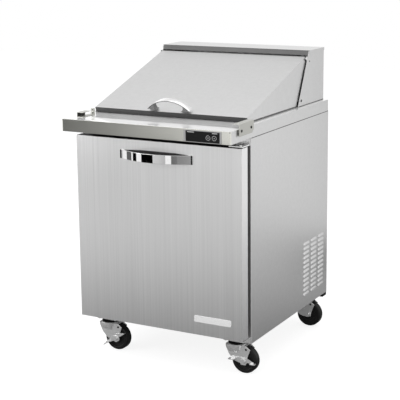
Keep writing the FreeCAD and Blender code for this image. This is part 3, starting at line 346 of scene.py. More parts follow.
GREENISH = (1.0, 1.0, 0.93)
FINE = (420, 420, 420)
MOTTLE = (60, 60, 60)
SATIN = grained("satin_steel", grey(0.66), grey(0.74), (0.34, 0.44), fine=FINE, coarse=MOTTLE)
LID_STEEL = grained("lid_steel", grey(0.66), grey(0.74), (0.36, 0.46), fine=FINE, coarse=MOTTLE)
BRUSHED = grained("brushed_door", grey(0.62), grey(0.72), (0.32, 0.40), fine=(520, 520, 2.0),
                  coarse=(160, 160, 0.8))
# Paler steel for two bands round the lid top's edge: a painted highlight.
PAINTED_RIM_HIGHLIGHT = grained("painted_rim_highlight", grey(0.94), grey(0.98), (0.22, 0.30), metallic=0.7, fine=FINE)
SOFT_PAINTED_RIM_HIGHLIGHT = grained("soft_painted_rim_highlight", grey(0.80), grey(0.86), (0.30, 0.38), metallic=0.9, fine=FINE)
# Near black strips along seams: painted shadow lines.
SEAM_PAINTED_SHADOW = grained("seam_painted_shadow", grey(0.10), grey(0.14), (0.4, 0.5), metallic=0.0, Specular_IOR_Level=0.2)
# Near black olive for the inside of the left bracket's channel: painted shade.
PAINTED_SHADE_OLIVE = grained("painted_shade_olive", grey(0.035, GREENISH), grey(0.05, GREENISH), (0.4, 0.5), metallic=0.3)
# A paler copy of the door's steel for its sides: a painted highlight.
PAINTED_HIGHLIGHT_DOOR_SIDE = grained("door_side_painted_highlight", grey(0.84), grey(0.90), (0.30, 0.38), metallic=0.9, fine=FINE,
                    coarse=MOTTLE)
MIRROR = grained("ledge_steel", grey(0.95), grey(0.98), (0.03, 0.06), metallic=0.36, fine=(3, 500, 500),
                 coarse=(8, 8, 8), bump=0.000001)
RAIL = grained("rail_steel", grey(0.70, GREENISH), grey(0.76, GREENISH), (0.07, 0.10), fine=(2, 500, 500),
               coarse=(8, 8, 8), bump=0.000002)
# Dark steel for the lid's front lip: painted shade.
PAINTED_SHADE_LIP = grained("painted_shade_lip", grey(0.065), grey(0.088), (0.30, 0.40), fine=(2, 400, 400))
# Dark steel for the hood cover's front: painted shade.
PAINTED_SHADE_BAND = grained("hood_band", grey(0.115), grey(0.155), (0.30, 0.40), fine=(2, 400, 400))
INNER_STEEL = grained("inner_steel", grey(0.58), grey(0.66), (0.28, 0.38), fine=(2, 300, 300))
GALVANISED = grained("galvanised", grey(0.42), grey(0.58), (0.38, 0.55), fine=(90, 90, 90),
                     coarse=(35, 35, 35))
ZINC = grained("zinc", grey(0.88), grey(0.97), (0.11, 0.20), metallic=0.7, fine=(300, 300, 300),
               coarse=(50, 50, 50))
CHROME = grained("chrome", grey(0.84), grey(0.90), (0.02, 0.05), fine=(200, 200, 200), bump=0.000001)
STRAP = grained("polished_strap", grey(0.92), grey(0.97), (0.05, 0.10), metallic=0.72, bump=0.000002)
# Near black for the lid strap's underside and edges and the plate behind the door pull: painted shade.
PAINTED_SHADE_EDGE = grained("painted_shade_edge", grey(0.05), grey(0.08), (0.20, 0.30), metallic=0.5, bump=0.000005)
FOAM = grained("foam", (0.55, 0.47, 0.30), (0.66, 0.58, 0.40), (0.8, 0.95), metallic=0.0,
               fine=(700, 700, 700), bump=0.0003)
BREAKER = grained("breaker_plastic", grey(0.030), grey(0.045), (0.4, 0.5), metallic=0.0, bump=0.00005)
RUBBER = grained("gasket_rubber", grey(0.006), grey(0.012), (0.5, 0.65), metallic=0.0, bump=0.00005,
                 Specular_IOR_Level=0.15)
WIRE = grained("coated_wire", grey(0.66), grey(0.72), (0.3, 0.4), metallic=0.0, bump=0.00003,
               Coat_Weight=0.3)
BEZEL = grained("bezel", grey(0.29), grey(0.34), (0.3, 0.4), metallic=0.2)
GLOSS = grained("control_gloss", grey(0.006), grey(0.009), (0.14, 0.20), metallic=0.0, bump=0.000002,
                Specular_IOR_Level=0.15)
SYMBOL = grained("symbol_ink", grey(0.42), grey(0.48), (0.4, 0.5), metallic=0.0, bump=0.00001)
FINS = grained("fin_aluminium", grey(0.55), grey(0.70), (0.3, 0.45), fine=(200, 200, 200))
ENAMEL = grained("black_enamel", grey(0.012), grey(0.02), (0.22, 0.32), metallic=0.0, bump=0.00005)
COPPER = grained("copper", (0.62, 0.30, 0.17), (0.80, 0.42, 0.26), (0.22, 0.38), fine=(120, 120, 120))
FAN_PLASTIC = grained("fan_plastic", grey(0.03), grey(0.045), (0.4, 0.5), metallic=0.0, bump=0.00004)
TREAD = grained("caster_tread", grey(0.008), grey(0.014), (0.38, 0.55), metallic=0.0, fine=(350, 350, 350),
                bump=0.00008, Specular_IOR_Level=0.2)
LEG_STEEL = grained("handle_leg", grey(0.16), grey(0.24), (0.25, 0.35), bump=0.00001)
BRACKET = grained("bracket_steel", grey(0.46, GREENISH), grey(0.52, GREENISH), (0.3, 0.4), metallic=0.3)
BADGE = grained("badge_plate", grey(0.92), grey(0.98), (0.2, 0.3), metallic=0.3)
HUB = grained("wheel_hub", grey(0.012), grey(0.018), (0.3, 0.42), metallic=0.0, bump=0.00004,
              Specular_IOR_Level=0.2)
BLACK_SCREW = grained("black_screw", grey(0.02), grey(0.035), (0.3, 0.4), metallic=0.6)

# --- mesh helpers --------------------------------------------------------------------------------------


def on_axis(axis, a, b, along):
    """A point from two distances across an axis and one along it."""
    return {"x": (along, a, b), "y": (a, along, b), "z": (a, b, along)}[axis]


def add_prism(bm, points, axis, start, end, slot=0):
    """A closed prism from an outline, between two distances along an axis."""
    ends = [[bm.verts.new(on_axis(axis, a, b, along)) for a, b in points] for along in (start, end)]
    faces = [bm.faces.new(ends[0]), bm.faces.new(ends[1][::-1])]
    for k in range(len(points)):
        after = (k + 1) % len(points)
        faces.append(bm.faces.new((ends[0][k], ends[1][k], ends[1][after], ends[0][after])))
    for face in faces:
        face.material_index = slot
    return faces


def add_box(bm, low, high, slot=0):
    points = [(low[0], low[1]), (high[0], low[1]), (high[0], high[1]), (low[0], high[1])]
    return add_prism(bm, points, "z", low[2], high[2], slot)


def rounded(low, high, radius, steps=5):
    """A rectangle's outline with round corners."""
    points = []
    middles = [(high[0] - radius, high[1] - radius, 0), (low[0] + radius, high[1] - radius, 1),
               (low[0] + radius, low[1] + radius, 2), (high[0] - radius, low[1] + radius, 3)]
    for x, y, quarter in middles:
        for k in range(steps + 1):
            turn = (quarter + k / steps) * math.pi / 2
            points.append((x + radius * math.cos(turn), y + radius * math.sin(turn)))
    return points


def loft(bm, rings, slot=0, closed=False):
    """Quads between rings of equally many points, with end faces unless the loft closes on itself."""
    made = [[bm.verts.new(point) for point in ring] for ring in rings]
    pairs = list(zip(made, made[1:]))
    if closed:
        pairs.append((made[-1], made[0]))
    faces = []
    for ring, after in pairs:
        for k in range(len(ring)):
            n = (k + 1) % len(ring)
            faces.append(bm.faces.new((ring[k], ring[n], after[n], after[k])))
    if not closed:
        faces.append(bm.faces.new(made[0][::-1]))
        faces.append(bm.faces.new(made[-1]))
    for face in faces:
        face.material_index = slot
    return faces


def add_lathe(bm, profile, centre, axis, slot=0, steps=48):
    """A closed profile of (radius, distance along the axis) turned about an axis through a centre."""
    rings = []
    for k in range(steps):
        turn = 2 * math.pi * k / steps
        ring = [on_axis(axis, r * math.cos(turn), r * math.sin(turn), along) for r, along in profile]
        rings.append([Vector(point) + Vector(centre) for point in ring])
    return loft(bm, rings, slot, closed=True)


def add_disc(bm, radius, start, end, centre, axis, slot=0, steps=32, edge=0.0):
    """A round bar or disc along an axis, with a small chamfer at both ends."""
    rings = []
    stations = [(radius, start + edge), (radius, end - edge)]
    if edge:
        stations = [(radius - edge, start), *stations, (radius - edge, end)]
    for r, along in stations:
        ring = []
        for k in range(steps):
            turn = 2 * math.pi * k / steps
            point = on_axis(axis, r * math.cos(turn), r * math.sin(turn), along)
            ring.append(Vector(point) + Vector(centre))
        rings.append(ring)
    return loft(bm, rings, slot)


def add_tube(bm, points, radius):
    """A round wire along a line of points."""
    sides = 10
    turns = [2 * math.pi * k / sides for k in range(sides)]
    points = [Vector(point) for point in points]
    side = (points[1] - points[0]).orthogonal().normalized()
    rings = []
    for k, point in enumerate(points):
        ahead = (points[min(k + 1, len(points) - 1)] - points[max(k - 1, 0)]).normalized()
        side = (side - ahead * side.dot(ahead)).normalized()
        other = ahead.cross(side)
        rings.append([point + (side * math.cos(turn) + other * math.sin(turn)) * radius for turn in turns])
    return loft(bm, rings)


def soften(bm, width, segments, chosen):
    """Rounds the sharp edges that chosen picks."""
    sharp = [e for e in bm.edges if len(e.link_faces) == 2 and e.calc_face_angle(0) > BEVEL_ANGLE]
    picked = [e for e in sharp if chosen(e)]
    bmesh.ops.bevel(bm, geom=picked, offset=width, segments=segments, profile=0.5, affect="EDGES",
                    clamp_overlap=True)


def piece(name, bm, body, materials, replaced=(), edge=0.0):
    """Makes an object of a mesh, gives it its finish, and lets it ride on a body."""
    bmesh.ops.recalc_face_normals(bm, faces=bm.faces)
    for face in bm.faces:
        face.smooth = True
    if not edge:
        for side in bm.edges:
            side.smooth = side.calc_face_angle(0) < SHARP_ANGLE
    mesh = bpy.data.meshes.new(name)
    bm.to_mesh(mesh)
    bm.free()
    made = bpy.data.objects.new(name, mesh)
    bpy.context.scene.collection.objects.link(made)
    for material in materials if isinstance(materials, list) else [materials]:
        mesh.materials.append(material)
    if edge:
        bevel = made.modifiers.new("edges", "BEVEL")
        bevel.width = edge
        bevel.segments = 2
        bevel.limit_method = "ANGLE"
        bevel.angle_limit = BEVEL_ANGLE
    made.modifiers.new("normals", "WEIGHTED_NORMAL").keep_sharp = True
    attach(made, body)
    if replaced:
        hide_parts(*replaced)
    return made


def from_node(node):
    """A node's own shape with its flat triangles merged."""
    bm = bmesh.new()
    bm.from_mesh(frame["nodes"][node].data)
    bmesh.ops.remove_doubles(bm, verts=bm.verts, dist=0.005 * MM)
    bmesh.ops.dissolve_limit(bm, angle_limit=math.radians(1), verts=bm.verts, edges=bm.edges)
    return bm


def softened(node, materials, width=0.4 * MM, paint=None):
    """A node's shape with its sharp edges broken, standing for the node."""
    bm = from_node(node)
    if paint:
        for face in bm.faces:
            face.material_index = paint(face)
    body = frame["nodes"][node]["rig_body"]
    piece(f"{node}_shape", bm, body, materials, [node], edge=width)


def carried(node, material):
    """A CAD node whose shape is right keeps it and gets a finish."""
    kept = frame["nodes"][node]
    kept.data.materials.clear()
    kept.data.materials.append(material)


# --- cabinet -------------------------------------------------------------------------------------------

LOUVRE_COLUMNS = [219 * MM, 292 * MM, 365 * MM]
LOUVRE_ROWS = [(173 + 18.8 * k) * MM for k in range(12)]
LOUVRE_LONG = 58 * MM
LOUVRE_SLOT = 6 * MM
LOUVRE_HIGH = 11 * MM
LOUVRE_OUT = 4 * MM
SHEET = 1.5 * MM
FOLD = 3 * MM
FOLD_STEPS = 3


def add_panel(bm, outer, inner, missing=()):
    """A sheet between two grids of points, with the missing cells left open."""
    near = [[bm.verts.new(point) for point in row] for row in outer]
    far = [[bm.verts.new(point) for point in row] for row in inner]
    cells = {(i, j) for i in range(len(outer) - 1) for j in range(len(outer[0]) - 1)} - set(missing)
    for i, j in cells:
        loop = [(i, j), (i + 1, j), (i + 1, j + 1), (i, j + 1)]
        bm.faces.new([near[a][b] for a, b in loop])
        bm.faces.new([far[a][b] for a, b in reversed(loop)])
        beside = [(i, j - 1), (i + 1, j), (i, j + 1), (i - 1, j)]
        for (a, b), (c, d), cell in zip(loop, loop[1:] + loop[:1], beside):
            if cell not in cells:
                bm.faces.new((near[c][d], near[a][b], far[a][b], far[c][d]))


def add_louvre(bm, outside, middle, low):
    """A pressed hood with round ends, open below, over one slot."""
    across = 14
    down = 6
    outer = []
    for i in range(across + 1):
        u = -math.cos(math.pi * i / across)
        swell = max(0.0, 1 - abs(u) ** 5) ** 0.4
        column = []
        for j in range(down + 1):
            v = j / down
            out = LOUVRE_OUT * math.sin(v * math.pi / 2) * swell
            up = LOUVRE_HIGH * (1 - v) * (0.45 + 0.55 * swell)
            column.append(Vector((outside + out, middle + u * LOUVRE_LONG / 2, low + up)))
        outer.append(column)
    sunk = Vector((1.0 * MM, 0, 0))
    add_panel(bm, outer, [[point - sunk for point in column] for column in outer])


def side_panel_right():
    """The right side sheet, folded at its front and back, with slots under three columns of louvres."""
    low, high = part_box("side_panel_left")
    outside = -low.x
    fold = outside + high.x
    breaks = [(outside - fold, low.y)]
    for k in range(FOLD_STEPS + 1):
        turn = k / FOLD_STEPS * math.pi / 2
        breaks.append((outside - FOLD * (1 - math.sin(turn)), low.y + FOLD * (1 - math.cos(turn))))
    first = len(breaks)
    for middle in LOUVRE_COLUMNS:
        breaks.append((outside, middle - LOUVRE_LONG / 2))
        breaks.append((outside, middle + LOUVRE_LONG / 2))
    breaks += [(outside, high.y), (outside - fold, high.y)]
    levels = [low.z]
    for row in LOUVRE_ROWS:
        levels += [row - LOUVRE_SLOT / 2, row + LOUVRE_SLOT / 2]
    levels.append(high.z)
    inside = []
    for x, y in breaks:
        inner_x = min(x, outside - SHEET)
        inner_y = min(max(y, low.y + SHEET), high.y - SHEET)
        inside.append((inner_x, inner_y))
    columns = range(len(LOUVRE_COLUMNS))
    missing = [(first + 2 * i, 1 + 2 * j) for i in columns for j in range(len(LOUVRE_ROWS))]
    bm = bmesh.new()
    outer_grid = [[Vector((x, y, z)) for z in levels] for x, y in breaks]
    inner_grid = [[Vector((x, y, z)) for z in levels] for x, y in inside]
    add_panel(bm, outer_grid, inner_grid, missing)
    for middle in LOUVRE_COLUMNS:
        for row in LOUVRE_ROWS:
            add_louvre(bm, outside, middle, row - LOUVRE_SLOT / 4)
    piece("side_panel_right_sheet", bm, "cabinet", SATIN, ["side_panel_right"],
          edge=0.3 * MM)


def cabinet():
    side_panel_right()
    softened("side_panel_left", SATIN)
    softened("back_panel", GALVANISED)
    softened("rear_grille", GALVANISED)
    softened("base_panel", SATIN)
    softened("rear_bumpers", RUBBER, 1.5 * MM)
    softened("cord_gland", FAN_PLASTIC)
    carried("front_breaker", BREAKER)
    carried("cabinet_liner", INNER_STEEL)
    carried("cabinet_insulation", FOAM)
    carried("shelf", WIRE)
    softened("shelf_clips", BREAKER)


# --- worktop, pans and hood ----------------------------------------------------------------------------


def inset_outline(low, high, inset, corner):
    """A slab's outline drawn in by a distance, its corners kept concentric."""
    return rounded((low.x + inset, low.y + inset), (high.x - inset, high.y - inset), corner - inset)


def worktop():
    """The slab with its pan well: a mirror-like top, a grey front and plain satin sides."""
    low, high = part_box("worktop")
    well_low, well_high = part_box("pan_bars")
    lip = 1.2 * MM
    corner = 4 * MM
    well_corner = 8 * MM
    section = [(0, low.z + lip), (0, high.z - lip)]
    for k in range(1, 4):
        turn = k / 3 * math.pi / 2
        section.append((lip * (1 - math.cos(turn)), high.z - lip * (1 - math.sin(turn))))
    outlines = [(inset_outline(low, high, inset, corner), z) for inset, z in section]
    bottom = inset_outline(low, high, lip, corner)
    rings = []
    for step, (inner_x, inner_y) in enumerate(rounded(well_low, well_high, well_corner)):
        ring = [(*outline[step], z) for outline, z in outlines]
        ring += [(inner_x, inner_y, high.z), (inner_x, inner_y, low.z), (*bottom[step], low.z)]
        rings.append(ring)
    bm = bmesh.new()
    loft(bm, rings, closed=True)
    bmesh.ops.recalc_face_normals(bm, faces=bm.faces)
    for face in bm.faces:
        if face.normal.z > 0.8:
            face.material_index = 0
        elif face.normal.y < -0.35 and face.calc_center_median().y < low.y + corner:
            face.material_index = 1
        else:
            face.material_index = 2
    piece("worktop_skin", bm, "cabinet", [MIRROR, RAIL, SATIN], ["worktop"])
    carried("worktop_core", FOAM)


def rail_front():
    """The rail's front plate between two end caps, with a small rivet beside each seam."""
    low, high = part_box("worktop")
    proud = 0.8 * MM
    cap = 5 * MM
    margin = 0.2 * MM
    bm = bmesh.new()
    start = (low.x + cap, low.y - proud, low.z + margin)
    add_box(bm, start, (high.x - cap, low.y + proud, high.z - margin))
    piece("rail_plate", bm, "cabinet", RAIL, edge=0.4 * MM)
    bm = bmesh.new()
    for side in (-1, 1):
        spot = (side * (high.x - cap + 0.5 * MM), low.y, high.z - 4 * MM)
        add_disc(bm, 1.6 * MM, -0.9 * MM, 0.5 * MM, spot, "y", steps=16)
    piece("rail_rivets", bm, "cabinet", BLACK_SCREW)


def add_shadow_strips(bm, x, out, start, end):
    """A thin dark strip on both sides, between two (y, z) points and a little proud of the sheet at x: a
    painted shadow line.
    """
    for side in (-1, 1):
        near, far = sorted((side * (x - 1 * MM), side * (x + out)))
        add_box(bm, (near, *start), (far, *end))


def seam_shadow_strips():
    """Thin dark strips where the slab sits on the side panels and the hood on the slab: painted shadow
    lines in the seams.
    """
    low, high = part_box("side_panel_left")
    bm = bmesh.new()
    below = (low.y + FOLD, high.z - 1.2 * MM)
    above = (high.y - FOLD, high.z + 1.8 * MM)
    add_shadow_strips(bm, -low.x, 0.02 * MM, below, above)
    low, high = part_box("hood_housing")
    hood = frame["nodes"]["hood_housing"].data
    foot = [vert.co.y for vert in hood.vertices if vert.co.z < low.z + 1 * MM]
    below = (min(foot) + 1 * MM, low.z)
    above = (max(foot) - 1 * MM, low.z + 2.6 * MM)
    add_shadow_strips(bm, high.x, 0.3 * MM, below, above)
    piece("seam_painted_shadow", bm, "cabinet", SEAM_PAINTED_SHADOW)


def add_pan(bm, low, high, depth):
    """A food pan with a flat rim, round corners and walls that draw in a little."""
    rim = 2.2 * MM
    body = 10 * MM
    wall = 0.9 * MM
    shallow = -3 * MM
    deep = -depth + 8 * MM
    # How far in, how far down, and the corner radius: the outside from the rim down, then the inside up.
    levels = [
        (0, 0, 3 * MM), (0, -rim, 3 * MM), (wall, -rim, 3 * MM), (wall, -1.0 * MM, 3 * MM),
        (body, -1.0 * MM, 14 * MM), (body + 2 * MM, shallow, 14 * MM), (body + 5 * MM, deep, 16 * MM),
        (body + 13 * MM, -depth, 16 * MM),
        (body + 13 * MM, -depth + wall, 16 * MM), (body + 5 * MM + wall, deep, 16 * MM),
        (body + 2 * MM + wall, shallow, 14 * MM), (body + wall, 0, 14 * MM),
    ]
    rings = []
    for inset, drop, radius in levels:
        start = (low.x + inset, low.y + inset)
        outline = rounded(start, (high.x - inset, high.y - inset), radius, steps=4)
        rings.append([(x, y, high.z + drop) for x, y in outline])
    loft(bm, rings, closed=True)
    bottoms = (high.z - depth, high.z - depth + wall)
    for face in list(bm.faces):
        if max(vert.co.z for vert in face.verts) < bottoms[1] + wall:
            bm.faces.remove(face)
    for bottom in bottoms:
        around = [vert for vert in bm.verts if abs(vert.co.z - bottom) < TOUCH]
        bmesh.ops.contextual_create(bm, geom=around)


def pans():
    """Twelve sixth-size pans in three rows, on bars across the well."""
    columns = 4
    gap = 0.6 * MM
    for row in ("front", "middle", "back"):
        low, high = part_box(f"pans_{row}")
        pitch = (high.x - low.x) / columns
        for column in range(columns):
            bm = bmesh.new()
            left = low.x + column * pitch + (gap if column else 0)
            right = low.x + (column + 1) * pitch - (gap if column < columns - 1 else 0)
            add_pan(bm, Vector((left, low.y, low.z)), Vector((right, high.y, high.z)), high.z - low.z)
            made = piece(f"pan_{row}_{column + 1}", bm, "cabinet", INNER_STEEL)
            if column == 0:
                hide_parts(f"pans_{row}")
    softened("pan_bars", INNER_STEEL, 1.0 * MM)


def hood():
    softened("hood_housing", SATIN)

    # The cover's front faces take dark steel: painted shade.
    def band(face):
        return 1 if face.normal.y < -0.7 else 0

    softened("hood_cover", [SATIN, PAINTED_SHADE_BAND], 0.5 * MM, paint=band)


def round_corners(points, radii):
    """An outline whose corners are rounded by tangent arcs."""
    steps = 5
    made = []
    count = len(points)
    for k, (corner, radius) in enumerate(zip(points, radii)):
        corner = Vector(corner)
        back = (Vector(points[k - 1]) - corner).normalized()
        ahead = (Vector(points[(k + 1) % count]) - corner).normalized()
        half = back.angle(ahead) / 2
        reach = radius / math.tan(half)
        middle = corner + (back + ahead).normalized() * (radius / math.sin(half))
        enter = corner + back * reach - middle
        leave = corner + ahead * reach - middle
        turn = enter.angle_signed(leave)
        for j in range(steps + 1):
            angle = -turn * j / steps
            made.append((middle.x + enter.x * math.cos(angle) - enter.y * math.sin(angle),
                         middle.y + enter.x * math.sin(angle) + enter.y * math.cos(angle)))
    return made


def brackets():
    """The cutting board's two brackets; the inside of the left channel is painted dark as shade."""
    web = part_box("bracket_left")[0].x + 4 * MM

    # Faces of the left channel's web that look inwards take dark olive: painted shade under its flange.
    def inside(face):
        return 1 if face.normal.x > 0.7 and face.calc_center_median().x < web else 0

    softened("bracket_left", [BRACKET, PAINTED_SHADE_OLIVE], paint=inside)
    softened("bracket_right", BRACKET, 0.5 * MM)


def add_screw(bm, spot, side, radius, out):
    """A domed head with a cross recess, standing on a side face."""
    rings = []
    for r, x in ((1, 0), (1, 0.35), (0.86, 0.72), (0.5, 0.95), (0.16, 1)):
        ring = []
        for k in range(20):
            turn = 2 * math.pi * k / 20
            reach = (side * x * out, r * radius * math.cos(turn), r * radius * math.sin(turn))
            ring.append(Vector(spot) + Vector(reach))
        rings.append(ring)
    loft(bm, rings)
    arm = radius * 0.55
    slim = radius * 0.12
    x, y, z = spot
    near, far = sorted((x + side * out * 0.6, x + side * out * 1.02))
    for half_y, half_z in ((arm, slim), (slim, arm)):
        add_box(bm, (near, y - half_y, z - half_z), (far, y + half_y, z + half_z), 1)


def side_screws():
    """Two screws in each board bracket, and a screw and a rivet in each side of the hood."""
    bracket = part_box("bracket_right")[1].x
    hood_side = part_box("hood_housing")[1].x
    tab_screw = 2.2
    tab_out = 2
    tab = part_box("bracket_left")[1].y - 2 * MM
    bm = bmesh.new()
    for side, x, y, z, radius, out in (
        (1, bracket, -365, 923.5, 5, 2.8), (1, bracket, -290, 926, 5, 2.8),
        (1, hood_side, 208, 952, 5, 1.9), (1, hood_side, 287, 1098, 2.5, 1.4),
        (-1, hood_side, 208, 952, 5, 1.9), (-1, hood_side, 287, 1098, 2.5, 1.4),
    ):
        add_screw(bm, (side * x, y * MM, z * MM), side, radius * MM, out * MM)
    for z in (936, 948):
        spot = (-299 * MM, 0, z * MM)
        add_disc(bm, tab_screw * MM, tab - tab_out * MM, tab, spot, "y", 1, 20, 0.6 * MM)
    piece("side_screw_heads", bm, "cabinet", [BLACK_SCREW, RUBBER], ["side_screws"])


# --- lid -----------------------------------------------------------------------------------------------


def lid():
    """The sloping lid: satin on top, with a painted highlight in bands round its edge, painted shade on its
    front lip and a painted shadow line along each side.
    """
    bm = from_node("lid_shell")
    bmesh.ops.recalc_face_normals(bm, faces=bm.faces)
    for face in bm.faces:
        if face.normal.z > 0.9:
            face.material_index = 0
        # The front lip, facing forwards and down, takes dark steel: painted shade.
        elif face.normal.y < -0.9 and face.normal.z < -0.2:
            face.material_index = 1
        else:
            face.material_index = 2
    # Two bands inset round the edge of the lid's top take paler steel: a painted highlight along the edge.
    tops = [face for face in bm.faces if face.material_index == 0]
    highest = max(tops, key=lambda face: face.calc_center_median().z)
    for wide, slot in ((5 * MM, 3), (7 * MM, 4)):
        for face in bmesh.ops.inset_region(bm, faces=[highest], thickness=wide)["faces"]:
            face.material_index = slot
    finishes = [LID_STEEL, PAINTED_SHADE_LIP, SATIN, PAINTED_RIM_HIGHLIGHT, SOFT_PAINTED_RIM_HIGHLIGHT]
    piece("lid_shell_shape", bm, "lid", finishes, ["lid_shell"], edge=0.5 * MM)
    softened("lid_liner", INNER_STEEL, 1.5 * MM)
    softened("lid_hinge_pins", ZINC, 0.3 * MM)

    low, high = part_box("lid_shell")
    # A thin dark strip along each side under the lid: a painted shadow line.
    bm = bmesh.new()
    below = (low.y + 2 * MM, low.z - 0.6 * MM)
    above = (high.y - 30 * MM, low.z + 4 * MM)
    add_shadow_strips(bm, high.x, 0.5 * MM, below, above)
    piece("lid_side_painted_shadow", bm, "lid", SEAM_PAINTED_SHADOW, edge=0.4 * MM)


def lid_handle():
    """A broad arched strap with straight ends, standing on two gusset legs."""
    low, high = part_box("lid_handle")
    half = high.x
    rise = 42 * MM
    radius = 123.25 * MM
    half_wide = 13.5 * MM
    thick = 3 * MM
    middle = (low + high) / 2
    foot = Vector((0, low.y, low.z)) + Vector((0, math.cos(LID_SLOPE), math.sin(LID_SLOPE))) * half_wide
    on_lid = Matrix.Translation(foot) @ Matrix.Rotation(LID_SLOPE, 4, "X")

    def arch(x):
        return math.sqrt(radius * radius - x * x) - radius + rise

    bm = bmesh.new()
    section = [(-1, -0.55), (-0.93, -0.12), (-0.6, 0.0), (0, 0.12), (0.6, 0.0), (0.93, -0.12), (1, -0.55),
               (0.93, -1.0), (-0.93, -1.0)]
    steps = 36
    rings = []
    for k in range(steps + 1):
        x = half * (2 * k / steps - 1)
        lean = math.asin(x / radius)
        out_x = math.sin(lean) * thick
        out_z = math.cos(lean) * thick
        rings.append([(x + out_x * up, across * half_wide, arch(x) + out_z * up) for across, up in section])
    strap = loft(bm, rings)
    bmesh.ops.recalc_face_normals(bm, faces=strap)
    # The strap's underside and its front and back edges take near black: painted shade.
    for face in strap:
        across = face.calc_center_median().y
        if face.normal.z < -0.5 or abs(across) > 0.95 * half_wide:
            face.material_index = 2
    leg = [(50, 0), (58, 3), (61.5, 12), (62, 25), (70, 20), (78, 14), (86.5, 5.5), (80, 3.5), (76, 0)]
    for side in (-1, 1):
        points = [(side * x * MM, z * MM) for x, z in leg]
        add_prism(bm, points, "y", -10.5 * MM, 10.5 * MM, 1)
    bmesh.ops.transform(bm, matrix=on_lid, verts=bm.verts)
    piece("lid_grip", bm, "lid", [STRAP, LEG_STEEL, PAINTED_SHADE_EDGE], ["lid_handle"])


# --- door ----------------------------------------------------------------------------------------------


def door():
    """A folded door pan with round front edges, its liner, gasket and plain badge plate."""
    low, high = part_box("door_shell")
    bm = bmesh.new()
    add_box(bm, low, high)
    soften(bm, 3 * MM, 4, lambda edge: all(abs(vert.co.y - low.y) < TOUCH for vert in edge.verts))
    bmesh.ops.recalc_face_normals(bm, faces=bm.faces)
    for face in bm.faces:
        # The top and bottom faces take black rubber: painted shade of the gaps above and below the door.
        if abs(face.normal.z) > 0.9:
            face.material_index = 2
        # The side faces take a paler copy of the steel: a painted highlight.
        elif abs(face.normal.x) > 0.9:
            face.material_index = 1
    finishes = [BRUSHED, PAINTED_HIGHLIGHT_DOOR_SIDE, RUBBER]
    piece("door_skin", bm, "door", finishes, ["door_shell"], edge=0.6 * MM)
    carried("door_insulation", FOAM)
    softened("door_liner", INNER_STEEL, 1.5 * MM)

    low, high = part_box("door_gasket")
    wide = 20 * MM
    section = [(0, 0), (1, 0), (1, 0.12), (0.82, 0.2), (0.82, 0.34), (0.95, 0.44), (0.95, 0.62),
               (0.85, 0.72), (1, 0.82), (1, 1), (0.1, 1), (0.1, 0.82), (0.22, 0.7), (0, 0.5), (0.15, 0.3)]
    rings = []
    for inset, depth in section:
        reach = wide * (1 - inset)
        start = (low.x + reach, low.z + reach)
        outline = rounded(start, (high.x - reach, high.z - reach), 1 * MM + wide * inset)
        rings.append([(x, low.y + (high.y - low.y) * depth, z) for x, z in outline])
    bm = bmesh.new()
    loft(bm, rings, closed=True)
    piece("door_gasket_ring", bm, "door", RUBBER, ["door_gasket"])

    low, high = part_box("door_badge")
    bm = bmesh.new()
    add_prism(bm, rounded((low.x, low.z), (high.x, high.z), 5 * MM), "y", low.y, high.y)
    piece("badge_plate", bm, "door", BADGE, ["door_badge"], edge=0.5 * MM)


def door_handle():
    """A flat chrome band bowed outwards in plan, on two rectangular feet, with a near black plate behind it
    as painted shadow.
    """
    low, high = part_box("door_handle")
    face = high.y
    radius = 272.5 * MM
    thick = 3.5 * MM
    band_top = low.z + 33 * MM
    centre = low.y + radius
    end = math.acos((centre - face) / radius)
    section = rounded((0, low.z), (thick, band_top), 1.2 * MM, steps=3)
    rings = []
    steps = 36
    for k in range(steps + 1):
        turn = -end + 2 * end * k / steps
        rings.append([((radius - inset) * math.sin(turn), centre - (radius - inset) * math.cos(turn), z)
                      for inset, z in section])
    bm = bmesh.new()
    loft(bm, rings)
    foot = 134 * MM
    for side in (-1, 1):
        near, far = sorted((side * foot, side * high.x))
        add_prism(bm, rounded((near, low.z), (far, band_top), 1.5 * MM), "y", face - 3 * MM, face)
    # A near black plate behind the band, between the feet: a painted shadow on the door.
    bottom = low.z + 2 * MM
    shoulder = high.z - 4 * MM
    plate = [(-foot, bottom), (foot, bottom), (foot, shoulder), (0.6 * foot, high.z), (-0.5 * foot, high.z),
             (-foot, shoulder)]
    radii = [r * MM for r in (2, 2, 2, 30, 30, 2)]
    add_prism(bm, round_corners(plate, radii), "y", face - 2.5 * MM, face, 1)
    piece("door_pull", bm, "door", [CHROME, PAINTED_SHADE_EDGE], ["door_handle"])


def hinges():
    for name in ("hinge_top", "hinge_bottom"):
        softened(name, ZINC, 0.6 * MM)


# --- controls ------------------------------------------------------------------------------------------


def controls():
    """A black glass panel in a grey bezel, with two press keys and plain marks."""
    softened("control_bezel", BEZEL, 0.6 * MM)
    low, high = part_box("control_panel")
    softened("control_panel", GLOSS, 0.2 * MM)
    proud = 0.25 * MM
    bm = bmesh.new()
    for start, long in ((6, 27), (104, 20)):
        x = low.x + start * MM
        add_box(bm, (x, low.y - proud, high.z - 5.5 * MM), (x + long * MM, low.y + MM, high.z - 3 * MM))
    piece("panel_marks", bm, "cabinet", SYMBOL)
    for side in ("left", "right"):
        key(side)


